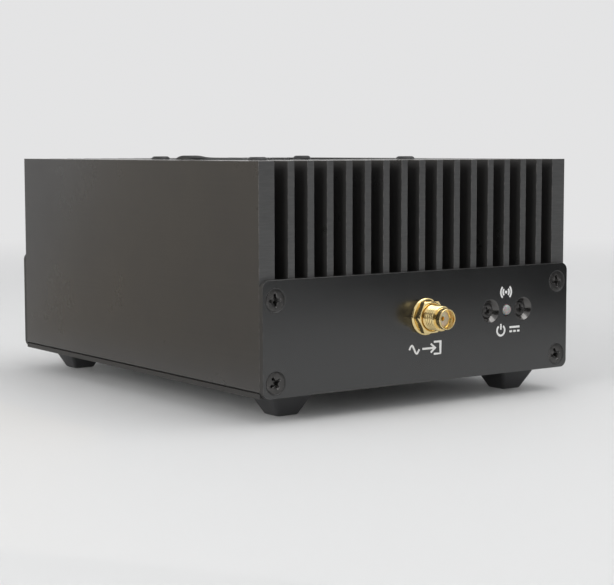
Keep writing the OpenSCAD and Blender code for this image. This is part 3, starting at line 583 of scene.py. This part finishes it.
def deburr(node, name, width, through):
    bm = joinedMesh(node)
    bmesh.ops.dissolve_limit(bm, angle_limit=radians(flatAngle), verts=bm.verts, edges=bm.edges)
    piece = addPiece(name, smoothMesh(bm, name), slotOf[node], [node])
    if through is not None:
        piece.data.materials.append(finishes["cutEdge"])
        piece.data.materials.append(finishes["sink"])
        for face in piece.data.polygons:
            facing = abs(face.normal[through])
            centre = face.center / mm
            nearLamp = min((spot.xz - centre.xz).length for spot in lampScrewSpots) < sinkReach
            if facing <= facingShares["flat"]:
                face.material_index = 2 if facing > facingShares["sunk"] and nearLamp else 1
    breakEdges(piece, width)


for node, (name, width, through) in deburredPieces.items():
    deburr(node, name, width, through)
print("case: body, plates and fan frame deburred")


# Screws: a turned head and shank with a tapered cross recess
screwSizes = {  # mm; turn is in degrees, in the middle and more for each mm along and across
    "cornerScrews": {
        "node": "end_plate_screws", "shank": 3, "head": 5.4, "drop": 0.2, "reach": 10, "turn": (52, 1, 1)},
    "bottomScrews": {
        "node": "bottom_plate_screws", "shank": 2.5, "head": 4.7, "drop": 0.1, "reach": 6,
        "turn": (11, 1 / 3, 2)},
    "lampScrews": {"node": "lamp_screws", "shank": 2, "head": 3.8, "drop": 1.15, "reach": 7.8},
    "fanScrews": {
        "node": "fan_screws", "shank": 3, "head": 5.6, "rise": 2.0, "reach": 33.2, "turn": (14, 2, 1)},
}
screwShape = {  # mm, with the point as a share of the shank and the dome as shares of the head and its rise
    "sides": 40, "point": 0.75, "pointLength": 0.4, "underRim": 0.08, "rimHeight": 0.1,
    "dome": ((1, 0.42), (0.96, 0.68), (0.85, 0.89), (0.70, 1)),
    "sunkRim": 0.07, "sunkFlat": 0.16, "edge": 0.05, "edgeAngle": 28,
}
recess = {  # shares of the head's width; the walls and the floor are shares of the span and the depth
    "span": 0.30, "arm": 0.075, "fillet": 0.05, "depth": 0.26, "armTaper": 0.6, "tipBulge": 1.04,
    "walls": ((1, 0), (0.74, 0.55), (0.42, 1)), "floor": 1.2,
}
photoTurns = {(-1, -1, -1): 33, (-1, -1, 1): 3, (1, -1, -1): 20, (1, -1, 1): 5}  # degrees, by corner
lampTurns = (30, 5)  # degrees
plateMiddle = middleOf("front_plate").z


def crossOutline(span, arm, fillet):
    tip = span * recess["tipBulge"]
    quarter = [(span, -arm), (tip, 0), (span, arm), (arm + fillet, arm), (arm, arm + fillet)]
    points = []
    for _ in range(4):
        points += quarter
        quarter = [(-y, x) for x, y in quarter]
    return points


def addScrew(bm, place, size, angle):
    shape, reach = screwShape, size["reach"]
    head, shank = size["head"] / 2, size["shank"] / 2
    place = place @ Matrix.Rotation(radians(angle), 4, "Z")
    rows = [(0, -reach), (shank * shape["point"], -reach), (shank, shape["pointLength"] - reach)]
    if "rise" in size:  # domed head that stands on the face
        top = size["rise"]
        rows += [(shank, 0), (head - shape["underRim"], 0), (head, shape["rimHeight"])]
        rows += [(head * across, top * up) for across, up in shape["dome"]]
    else:  # sunk head on the cone of its countersink
        top, rim = -size["drop"], shape["sunkRim"]
        rows += [(shank, top - head + shank), (head - rim, top - rim), (head - shape["sunkFlat"], top)]
    rings = turnRows(bm, rows, shape["sides"], place)
    shares = pick(recess, "span", "arm", "fillet", "depth")
    span, arm, fillet, depth = (size["head"] * share for share in shares)
    walls = []
    for share, down in recess["walls"]:
        narrowed = arm * (1 - recess["armTaper"] * (1 - share))
        outline = crossOutline(span * share, narrowed, fillet)
        walls.append([bm.verts.new(place @ Vector((x, y, top - depth * down))) for x, y in outline])
    walls.append([bm.verts.new(place @ Vector((0, 0, top - depth * recess["floor"])))])
    for upper, lower in zip(walls, walls[1:]):
        joinRows(bm, upper, lower)
    rims = [bm.edges.get((loop[k - 1], loop[k])) for loop in (rings[-1], walls[0]) for k in range(len(loop))]
    bmesh.ops.triangle_fill(bm, edges=rims, use_beauty=True)


def makeScrews(name, spots, finish=None):
    size = screwSizes[name]
    bm = bmesh.new()
    for place, angle in spots:
        addScrew(bm, place, size, angle)
    piece = addPiece(name, smoothMesh(bm, name), "screw_black", [size["node"]], finish=finish)
    breakEdges(piece, screwShape["edge"], angle=screwShape["edgeAngle"])


# where the photo doesn't show a screw's recess, each stopped at an angle of its own
def stopAngle(name, along, across):
    middle, perAlong, perAcross = screwSizes[name]["turn"]
    return middle + perAlong * along + perAcross * across


def spotsOn(onFace, name):
    centres = solidCentres(screwSizes[name]["node"])
    return [(onFace(*centre.xy), stopAngle(name, *centre.xy)) for centre in centres]


spots = []
for x, y, z in solidCentres("end_plate_screws"):
    corner = (copysign(1, x), copysign(1, y), copysign(1, z - plateMiddle))
    turn = photoTurns.get(corner, stopAngle("cornerScrews", x, z))
    spots.append((onFront(x, z) if y < 0 else onRear(x, z), turn))
makeScrews("cornerScrews", spots)
makeScrews("bottomScrews", spotsOn(onBottom, "bottomScrews"))
makeScrews("lampScrews", [(onFront(*spot.xz), turn) for spot, turn in zip(lampScrewSpots, lampTurns)])
makeScrews("fanScrews", spotsOn(onFan, "fanScrews"), "fanScrew")
print("screws: four kinds with cross recesses")


# Feet: moulded rubber, narrower on the floor
footSize = {"tip": 6.3, "corner": 0.9, "cornerSteps": 5, "rim": 0.4, "rimSteps": 3}  # mm


def makeFoot(name, node):
    low, high = solidBox(node)
    middle, base = middleOf(node), high.x - low.x
    bm = bmesh.new()
    for vert in bmesh.ops.create_cube(bm, size=1)["verts"]:
        onFloor = vert.co.z < 0
        half = (footSize["tip"] if onFloor else base) / 2
        x, y = (copysign(half, value) for value in vert.co.xy)
        vert.co = Vector((middle.x + x, middle.y + y, low.z if onFloor else high.z)) * mm
    sides = [e for e in bm.edges if abs(e.verts[0].co.z - e.verts[1].co.z) > mm]
    rounding = {"affect": "EDGES", "profile": 0.5}
    corner, rim = footSize["corner"] * mm, footSize["rim"] * mm
    bmesh.ops.bevel(bm, geom=sides, offset=corner, segments=footSize["cornerSteps"], **rounding)
    sole = [e for e in bm.edges if max(v.co.z for v in e.verts) < rim / 4]
    bmesh.ops.bevel(bm, geom=sole, offset=rim, segments=footSize["rimSteps"], **rounding)
    addPiece(name, smoothMesh(bm, name, sharp=40), "foot_rubber", [node])


for end in ("front", "rear"):
    for hand in ("left", "right"):
        makeFoot(f"{end}{hand.title()}Foot", f"foot_{end}_{hand}")
print("feet: four")


# Coaxial jacks: a threaded shell, nut, washer, insulator and centre contact
jackSize = {  # mm: radii, and heights from the plate's face
    "thread": 3.175, "pitch": 0.7056, "threadDepth": 0.20, "threadFrom": 3.3, "threadTo": 6.55,
    "ringsPerTurn": 10, "crest": 0.12,  # share of the pitch left flat at crest and root
    "runIn": (0.25, 0.3), "runOut": (0.3, 0.1),  # length of the fade, and the share of depth where it starts
    "bore": 2.05, "flange": 4.0, "flangeBack": -3.5, "flangeFront": -1.5, "neck": 0.2,
    "face": 6.7, "lip": 2.65, "mouth": 2.3, "lipEnd": 8.6, "sides": 96,
    "nut": 4.0, "nutThick": 2.2, "nutFace": 0.955, "nutSlope": 30, "nutEdge": 0.06, "nutAngle": 25,
    "washer": 4.75, "washerThick": 0.6, "insulatorBack": -8.0, "insulatorSides": 64,
    "pin": 0.635, "pinBack": -12.0, "pinBore": 0.45, "pinFloor": 3.7, "pinSides": 32,
}


def threadRadius(height):
    outer, pitch, crest = pick(jackSize, "thread", "pitch", "crest")
    runIn, inShare = jackSize["runIn"]
    runOut, outShare = jackSize["runOut"]
    begun = (height - jackSize["threadFrom"]) / runIn + inShare
    left = (jackSize["threadTo"] - height) / runOut + outShare
    depth = jackSize["threadDepth"] * max(0, min(1, begun, left))

    def radius(angle):
        step = (height / pitch - angle / (2 * pi)) % 1
        groove = (1 - abs(2 * step - 1) - crest) / (1 - 2 * crest)
        return outer - depth * min(1, max(0, groove))

    return radius


def shellRows():
    outer, bore, flange, back, front = pick(jackSize, "thread", "bore", "flange", "flangeBack", "flangeFront")
    face, lip, mouth, end, low = pick(jackSize, "face", "lip", "mouth", "lipEnd", "threadFrom")
    neck, nutTop = outer - jackSize["neck"], jackSize["washerThick"] + jackSize["nutThick"]
    length = jackSize["threadTo"] - low
    steps = round(length / jackSize["pitch"] * jackSize["ringsPerTurn"])
    heights = [low + length * k / steps for k in range(steps + 1)]
    return [
        (bore, back), (flange - 0.1, back), (flange, back + 0.1), (flange, front), (outer, front),
        (outer, nutTop), (neck, nutTop + 0.15), (neck, low - 0.05),
        *((threadRadius(height), height) for height in heights),
        (outer - 0.16, face), (lip + 0.07, face), (lip, face + 0.06), (lip, end - 0.18),
        (lip - 0.05, end - 0.06), (lip - 0.15, end), (mouth + 0.1, end), (mouth + 0.03, end - 0.04),
        (mouth, end - 0.14), (mouth, face + 0.04), (bore, face),
    ]


def nutRows():
    outer, flat, base = pick(jackSize, "thread", "nut", "washerThick")
    edge, top = flat * jackSize["nutFace"], base + jackSize["nutThick"]
    slope = tan(radians(jackSize["nutSlope"]))

    def hexRadius(angle):
        return flat / cos((angle % (pi / 3)) - pi / 6)

    def lower(angle):
        return base + (hexRadius(angle) - edge) * slope

    def upper(angle):
        return top - (hexRadius(angle) - edge) * slope

    return [
        (outer + 0.45, base), (edge, base), (hexRadius, lower), (hexRadius, upper), (edge, top),
        (outer + 0.4, top), (outer + 0.05, top - 0.3), (outer + 0.05, base + 0.3),
    ]


def washerRows():
    outer, rim, top = pick(jackSize, "thread", "washer", "washerThick")
    return [
        (outer + 0.1, 0.08), (outer + 0.2, 0), (rim - 0.1, 0), (rim, 0.1), (rim, top - 0.32),
        (rim - 0.05, top - 0.22), (rim - 0.5, top - 0.02), (rim - 0.62, top),
        (outer + 0.2, top), (outer + 0.1, top - 0.08),
    ]


def insulatorRows():
    pin, bore, back, face = pick(jackSize, "pin", "bore", "insulatorBack", "face")
    return [
        (pin, back), (bore - 0.1, back), (bore, back + 0.1), (bore, face - 0.12), (bore - 0.1, face - 0.02),
        (bore - 0.25, face), (pin + 0.165, face), (pin + 0.045, face - 0.04), (pin, face - 0.12),
    ]


def contactRows():
    pin, bore, back, floor, face = pick(jackSize, "pin", "pinBore", "pinBack", "pinFloor", "face")
    return [
        (0, back), (pin - 0.135, back), (pin, back + 0.2), (pin, face - 0.1), (pin - 0.055, face),
        (pin - 0.135, face), (bore, face - 0.08), (bore, floor + 0.2), (0, floor),
    ]


def makeJack(side, place):
    sides, edgeAngle = pick(jackSize, "sides", "nutAngle")

    def turnPart(part, rows, sides, slot="gold_plate", sharp=40):
        node = f"{side}_jack_{part.lower()}"
        return turnPiece(f"{side}Jack{part}", rows, sides, place, slot, node, sharp)

    turnPart("Shell", shellRows(), sides)
    nut = turnPart("Nut", nutRows(), sides, sharp=edgeAngle)
    breakEdges(nut, jackSize["nutEdge"], angle=edgeAngle)
    turnPart("Washer", washerRows(), sides)
    turnPart("Insulator", insulatorRows(), jackSize["insulatorSides"], "white_insulator")
    turnPart("Contact", contactRows(), jackSize["pinSides"])


makeJack("input", onFront(*jackSpot.xz))
makeJack("output", onRear(*rearJackSpot.xz))
print("jacks: input and output")


# Power socket and lamp
socketSize = {  # mm: radii, and heights from the plate's face
    "tail": 3.6, "tailBack": -13.5, "barrel": 4.0, "floor": -10.5, "flange": 5.5, "flangeTop": 2.0,
    "bore": 3.2, "sides": 80, "pin": 1.05, "pinBack": -16.5, "pinTip": 0.8, "pinSides": 40,
}
lampSize = {  # the same, with the smoothing angle in degrees
    "radius": 1.5, "rim": 1.9, "centre": -0.6, "back": -2.5, "shoulder": -1.5, "edge": 0.1,
    "steps": 12, "sides": 56, "sharp": 45,
}


def makeSocket():
    pin, tail, barrel, flange, bore = pick(socketSize, "pin", "tail", "barrel", "flange", "bore")
    back, floor, top = pick(socketSize, "tailBack", "floor", "flangeTop")
    place = onRear(*socketSpot.xz)
    rows = [
        (pin, back), (tail, back), (tail, floor), (barrel, floor), (barrel, 0), (flange - 0.15, 0),
        (flange, 0.15), (flange, top - 0.45), (flange - 0.06, top - 0.2), (flange - 0.22, top - 0.05),
        (flange - 0.45, top), (bore + 0.42, top), (bore + 0.22, top - 0.08), (bore + 0.05, top - 0.32),
        (bore, top - 0.5), (bore, floor), (pin, floor),
    ]
    turnPiece("socketBody", rows, socketSize["sides"], place, "socket_plastic", "power_socket")
    back, tip, sides = pick(socketSize, "pinBack", "pinTip", "pinSides")
    rows = [
        (0, back), (pin, back), (pin, tip - 0.4), (pin - 0.1, tip - 0.18), (pin - 0.27, tip - 0.06),
        (pin - 0.5, tip), (0, tip),
    ]
    turnPiece("socketPin", rows, sides, place, "tinned_metal", "power_socket_pin")


def makeLamp():
    radius, rim, centre, back = pick(lampSize, "radius", "rim", "centre", "back")
    shoulder, edge, steps, sides, sharp = pick(lampSize, "shoulder", "edge", "steps", "sides", "sharp")
    rows = [(0, back), (rim - edge, back), (rim, back + edge), (rim, shoulder), (radius, shoulder)]
    for k in range(steps):
        lift = pi / 2 * k / steps
        rows.append((radius * cos(lift), centre + radius * sin(lift)))
    rows.append((0, centre + radius))
    place = onFront(*lampSpot.xz)
    turnPiece("lampLens", rows, sides, place, "lamp_lens", "lamp", sharp)


makeSocket()
makeLamp()
print("socket and lamp: made")


# Printed marks on the front plate, plain pictograms
markSize = {  # mm and degrees
    "stroke": 0.52, "thick": 0.03, "leastBend": 0.5,
    "jackMark": (-0.1, -8.23),  # from the jack's axis
    "aerialMark": (-0.35, 4.75), "powerMark": (0.4, -5.25),  # from the lamp's axis
    "wave": (-5.2, 3.24, 1.05, 18),  # start, length, height, steps
    "arrow": (-0.9, 3.75, 2.15, 38),  # start, end, reach and slope of its tip
    "bracket": (2.9, 5.1, 1.55),  # start, end, half its height
    "dot": 0.4, "dotSides": 20, "waves": (1.05, 1.85), "spread": 48,  # radii, and the angle to each side
    "ring": (-2.5, -0.1, 1.35, 125, 415, 30),  # centre, radius, first and last angle, steps
    "bar": (1.65, 0.1),  # from and to
    "current": (0.6, 4.2, 0.55),  # start, end, half its height
    "dash": 0.9, "dashStep": 1.35, "dashes": 3,
}


def addStroke(bm, place, points):
    half = markSize["stroke"] / 2
    points = [Vector(point) for point in points]
    last = len(points) - 1
    rims = []
    for i, point in enumerate(points):
        before, after = points[max(i - 1, 0)], points[min(i + 1, last)]
        way = (after - before).normalized()
        side = Vector((-way.y, way.x))
        turn = (point - before).normalized() if i else way
        bend = max(markSize["leastBend"], abs(turn.dot(way)))
        rims.append((point + side * half / bend, point - side * half / bend))
    low, high = ([[bm.verts.new(place @ Vector((*p, h))) for p in pair] for pair in rims]
                 for h in (0, markSize["thick"]))
    for i in range(last):
        bm.faces.new((high[i][0], high[i][1], high[i + 1][1], high[i + 1][0]))
        for k in (0, 1):
            bm.faces.new((low[i][k], low[i + 1][k], high[i + 1][k], high[i][k]))
    for i in (0, last):
        bm.faces.new((low[i][0], low[i][1], high[i][1], high[i][0]))


def addPatch(bm, place, outline):
    low, high = ([bm.verts.new(place @ Vector((*p, h))) for p in outline] for h in (0, markSize["thick"]))
    bm.faces.new(high)
    joinRows(bm, low, high)


# an arrow along U with a tip of two strokes
def arrowPoints(start, end, reach, slope):
    half = markSize["stroke"] / 2
    along, across = cos(radians(slope)), sin(radians(slope))
    inner = end - 2 * half / across
    tail = (end - reach * along, reach * across)
    heel = (tail[0] - 2 * half * across, tail[1] - 2 * half * along)
    upper = [tail, heel, (inner - half * along / across, half), (start, half)]
    return [(end, 0), *upper, *[(x, -y) for x, y in reversed(upper)]]


def arcPoints(x, y, radius, start, end, steps=20):
    turns = [radians(start + (end - start) * k / steps) for k in range(steps + 1)]
    return [(x + radius * cos(a), y + radius * sin(a)) for a in turns]


def markPlace(spot, mark):
    across, up = markSize[mark]
    return onFront(spot.x + across, spot.z + up)


def makeMarks():
    bm = bmesh.new()
    place = markPlace(jackSpot, "jackMark")  # below the jack: a wave and an arrow into a bracket
    start, length, height, steps = markSize["wave"]
    shares = [k / steps for k in range(steps + 1)]
    addStroke(bm, place, [(start + length * s, height * sin(2 * pi * s)) for s in shares])
    addPatch(bm, place, arrowPoints(*markSize["arrow"]))
    start, end, half = markSize["bracket"]
    addStroke(bm, place, [(start, half), (end, half), (end, -half), (start, -half)])
    place = markPlace(lampSpot, "aerialMark")  # above the lamp: waves from an aerial
    dot, sides, spread = pick(markSize, "dot", "dotSides", "spread")
    addPatch(bm, place, arcPoints(0, 0, dot, 0, 360 - 360 / sides, sides - 1))
    for middle in (0, 180):
        for radius in markSize["waves"]:
            addStroke(bm, place, arcPoints(0, 0, radius, middle - spread, middle + spread))
    place = markPlace(lampSpot, "powerMark")  # below the lamp: power, and direct current
    addStroke(bm, place, arcPoints(*markSize["ring"]))
    addStroke(bm, place, [(markSize["ring"][0], y) for y in markSize["bar"]])
    start, end, half = markSize["current"]
    addStroke(bm, place, [(start, half), (end, half)])
    for k in range(markSize["dashes"]):
        x = start + markSize["dashStep"] * k
        addStroke(bm, place, [(x, -half), (x + markSize["dash"], -half)])
    addPiece("frontMarks", smoothMesh(bm, "frontMarks"), "plate_black", [], finish="printedInk")


makeMarks()
print("marks: printed on the front plate")


# Fan impeller: a cup hub and swept, cambered blades
hubSize = {  # mm: radii, and heights from the top of the frame
    "hub": 14, "cup": 12.8, "boss": 3.2, "shaft": 1.5, "low": -14, "rim": -3.6, "floor": -12.8,
    "bossTop": -12.0, "seat": -13.4, "sides": 96, "edge": 0.12, "edgeAngle": 50,
}
bladeSize = {  # the same, and degrees; camber is a share of the rise, edge of the thickness
    "count": 7, "root": 13.4, "tip": 27.9, "rootArc": 46, "tipArc": 40, "sweep": 16, "camber": 0.12,
    "thick": 1.3, "edge": 0.45, "low": -12.95, "high": -4.45, "spans": 18, "steps": 24,
}


# along the span and across the chord, both as shares, on the upper or lower side
def bladePoint(s, c, side):
    root, tip, rootArc, tipArc, sweep = pick(bladeSize, "root", "tip", "rootArc", "tipArc", "sweep")
    camber, thick, edge, low, high = pick(bladeSize, "camber", "thick", "edge", "low", "high")
    radius = root + s * (tip - root)
    arc = rootArc + s * (tipArc - rootArc)
    angle = radians(sweep * s * s + (c - 0.5) * arc)
    rise = c + camber * sin(pi * c)
    half = thick / 2 * (edge + (1 - edge) * sin(pi * c))
    height = low + rise * (high - low) + side * half
    return Vector((radius * cos(angle), radius * sin(angle), height))


def addBlade(bm, place):
    spans, steps = pick(bladeSize, "spans", "steps")
    skins = [[[bm.verts.new(place @ bladePoint(i / spans, j / steps, side)) for j in range(steps + 1)]
              for i in range(spans + 1)] for side in (1, -1)]
    for skin in skins:
        for low, high in zip(skin, skin[1:]):
            joinRows(bm, low, high, closed=False)
    border = [(0, j) for j in range(steps)] + [(i, steps) for i in range(spans)]
    border += [(spans, j) for j in range(steps, 0, -1)] + [(i, 0) for i in range(spans, 0, -1)]
    joinRows(bm, *([skin[i][j] for i, j in border] for skin in skins))


def makeImpeller():
    hub, cup, boss, shaft = pick(hubSize, "hub", "cup", "boss", "shaft")
    low, rim, floor, bossTop, seat = pick(hubSize, "low", "rim", "floor", "bossTop", "seat")
    rows = [
        (0, low), (hub - 1, low), (hub - 0.4, low + 0.15), (hub - 0.08, low + 0.5), (hub, low + 1),
        (hub, rim - 0.2), (hub - 0.15, rim), (cup + 0.15, rim), (cup, rim - 0.15), (cup, floor),
        (boss, floor), (boss, bossTop), (shaft, bossTop), (shaft, seat), (0, seat),
    ]
    bm = bmesh.new()
    place, count = onFan(*middleOf("fan_frame").xy), bladeSize["count"]
    turnRows(bm, rows, hubSize["sides"], place)
    for k in range(count):
        addBlade(bm, place @ Matrix.Rotation(2 * pi * k / count, 4, "Z"))
    mesh = smoothMesh(bm, "fanImpeller", sharp=40)
    piece = addPiece("fanImpeller", mesh, "fan_plastic", ["fan_rotor"], body="impeller")
    breakEdges(piece, hubSize["edge"], angle=hubSize["edgeAngle"])


makeImpeller()
print("fan: impeller with", bladeSize["count"], "blades")


# Leads and coils, along the same routes as the solids
leads = {  # mm
    "fanLead": {
        "node": "fan_lead", "slot": "fan_lead_cover", "radius": 1.0, "routes": [
            [(-9, 0, 58.2), (-9, 0, 60.6), (-11, 0, 61.9), (-24.5, 0, 61.9), (-27.5, 0, 62.55),
             (-30, 0, 62.55), (-31.94, 3.9, 62.55), (-31.94, 6, 59.2), (-31.94, 6, 53.7), (-31.94, 6, 37.9),
             (-31.94, 6, 23.435), (-31.94, 6, 18.935), (-29.94, 6, 18.935), (-27.94, 6, 18.935)]]},
    "supplyLeads": {
        "node": "supply_leads", "slot": "wire_cover", "radius": 0.9, "routes": [
            [(28, 47.5, 17.5), (28, 42.5, 17.5), (28, 39.5, 18.5), (28, 39.5, 23.435)],
            [(28, 47.5, 20.55), (28, 45.5, 20.55), (28, 44, 21.55), (28, 44, 23.435)]]},
    "lampLeads": {
        "node": "lamp_leads", "slot": "wire_cover", "radius": 0.6, "routes": [
            [(x, -57.8, 20.3), (x, -53.8, 20.3), (x, -49.8, 20.8), (x, -49.8, 23.435)] for x in (26, 30)]},
}
coilSize = {  # mm
    "turns": 5.5, "step": 2.0, "radius": 3.0, "wire": 0.6, "wireSides": 12, "height": 18.835, "board": 23.435,
    "rows": (16, 26, 36), "rings": 32,
}


def coilPoints(y):
    turns, step, radius, board, rings = pick(coilSize, "turns", "step", "radius", "board", "rings")
    reach = turns * step / 2
    points = [Vector((-reach, y + radius, board))]
    for k in range(round(turns * rings) + 1):
        angle = 2 * pi * k / rings
        across, up = radius * cos(angle), radius * sin(angle)
        points.append(Vector((-reach + step * k / rings, y + across, coilSize["height"] - up)))
    return [*points, Vector((reach, y - radius, board))]


def makeCoils():
    bm = bmesh.new()
    for y in coilSize["rows"]:
        sweepTube(bm, coilPoints(y), coilSize["wire"], coilSize["wireSides"])
    addPiece("filterCoils", smoothMesh(bm, "filterCoils", sharp=60), "copper", ["filter_coils"])


for name, lead in leads.items():
    bm = bmesh.new()
    for route in lead["routes"]:
        sweepTube(bm, cutCorners([Vector(point) for point in route]), lead["radius"])
    addPiece(name, smoothMesh(bm, name, sharp=45), lead["slot"], [lead["node"]])
makeCoils()
print("leads and coils: made")

# Solids that nothing stands for keep their shape and take their finish
for node, solid in cadNodes.items():
    solid.data.materials.clear()
    solid.data.materials.append(finishes[slotOf[node]])
print("solids: finished")

# Studio: a pale floor that fades into the backdrop, soft light from all round, overhead and the left,
# and cards for the gloss to mirror
studio = {  # places in metres
    "backdrop": (0.775, 0.775, 0.78),
    "fill": (0.80, 0.81, 0.83),
    "fillStrength": 0.57,
    "floor": {
        "colour": (0.675, 0.675, 0.67), "rough": 0.7, "sides": 64,
        "depth": 0.06,  # how far light spreads in the milky sheet
        "fade": (0.22, 0.75),  # from the middle
        "rings": (0.0, 0.15, 0.3, 0.5, 0.8, 1.3, 2.2, 4.0),
    },
    "lights": {
        "topSoftbox": {"at": (0.22, -0.25, 1.0), "size": 1.05, "power": 6.0},
        "leftSoftbox": {"at": (-0.90, -0.20, 0.33), "size": 0.60, "power": 6.0},
    },
    "cardRough": 0.9, "cardSteps": 8,
    "cards": {
        "rightCard": {
            "from": (0.10, -0.42), "to": (0.20, -0.15), "height": 0.18, "colour": (0.025, 0.025, 0.026)},
        "frontCard": {
            "from": (-0.60, 0.10), "to": (-0.40, -0.62), "height": 0.5, "colour": (0.03, 0.028, 0.026)},
        "leftCard": {
            "from": (-0.085, -0.05), "to": (-0.085, 0.14), "height": 0.4, "lean": (-0.2, 0.0),
            "colour": (0.56, 0.46, 0.33)},
        "lowCard": {
            "from": (-0.16, -0.12), "to": (-0.07, -0.26), "height": 0.12, "colour": (0.03, 0.03, 0.03)},
    },
}


def makeFloor():
    look = studio["floor"]
    bm = bmesh.new()
    turnRows(bm, [(radius / mm, 0) for radius in look["rings"]], look["sides"], Matrix.Scale(mm, 4))
    floor = addObject("studioFloor", smoothMesh(bm, "studioFloor"))
    values = {
        "Base Color": opaque(look["colour"]), "Roughness": look["rough"],
        "Subsurface Weight": 1, "Subsurface Scale": look["depth"], "Subsurface Radius": (1, 1, 1),
    }
    material, tree, shader = newMaterial("paleFloor", values)
    place = addNode(tree, "NewGeometry").outputs["Position"]
    away = addNode(tree, "VectorMath", {0: place}, operation="LENGTH").outputs["Value"]
    seen = addNode(tree, "LightPath").outputs["Is Camera Ray"]
    fade = addMath(tree, "MULTIPLY", addRamp(tree, away, *look["fade"]), seen)
    glow = addNode(tree, "Emission", {"Color": opaque(studio["backdrop"]), "Strength": 1})
    mixed = addNode(tree, "MixShader", {0: fade, 1: shader.outputs[0], 2: glow.outputs[0]})
    tree.links.new(mixed.outputs[0], tree.nodes["Material Output"].inputs["Surface"])
    floor.data.materials.append(material)


# seen in reflections alone, so that the light on the floor stays even
def makeCard(name, card):
    bm = bmesh.new()
    steps = studio["cardSteps"]
    start, end = Vector(card["from"]), Vector(card["to"])
    lean = Vector(card.get("lean", (0, 0)))
    foot = [start.lerp(end, k / steps) for k in range(steps + 1)]
    edges = ((0, Vector((0, 0))), (card["height"], lean))
    rows = [[bm.verts.new((*(point + shift), h)) for point in foot] for h, shift in edges]
    joinRows(bm, *rows, closed=False)
    panel = addObject(name, smoothMesh(bm, name))
    values = {"Base Color": opaque(card["colour"]), "Roughness": studio["cardRough"]}
    panel.data.materials.append(newMaterial(name, values)[0])
    panel.visible_camera = panel.visible_diffuse = panel.visible_shadow = False


def makeWorld():
    scene.world = bpy.data.worlds.new("paleRoom")
    scene.world.use_nodes = True
    tree = scene.world.node_tree
    path = addNode(tree, "LightPath").outputs
    mirrored = addMath(tree, "ADD", path["Is Glossy Ray"], path["Is Transmission Ray"])
    seen = addMath(tree, "ADD", path["Is Camera Ray"], mirrored, clamp=True)
    backdrop = addNode(tree, "Background", {"Color": opaque(studio["backdrop"]), "Strength": 1})
    fill = addNode(tree, "Background", {"Color": opaque(studio["fill"]), "Strength": studio["fillStrength"]})
    mixed = addNode(tree, "MixShader", {0: seen, 1: fill.outputs[0], 2: backdrop.outputs[0]})
    tree.links.new(mixed.outputs[0], tree.nodes["World Output"].inputs["Surface"])


def makeSoftbox(name, look):
    data = bpy.data.lights.new(name, "AREA")
    data.shape, data.size, data.energy = "DISK", look["size"], look["power"]
    lamp = addObject(name, data)
    lamp.visible_camera = False
    place = Vector(look["at"])
    lamp.matrix_world = Matrix.Translation(place) @ (-place).to_track_quat("-Z", "Y").to_matrix().to_4x4()


makeFloor()
for name, card in studio["cards"].items():
    makeCard(name, card)
makeWorld()
for name, look in studio["lights"].items():
    makeSoftbox(name, look)
print("studio: floor, cards, world and lights")
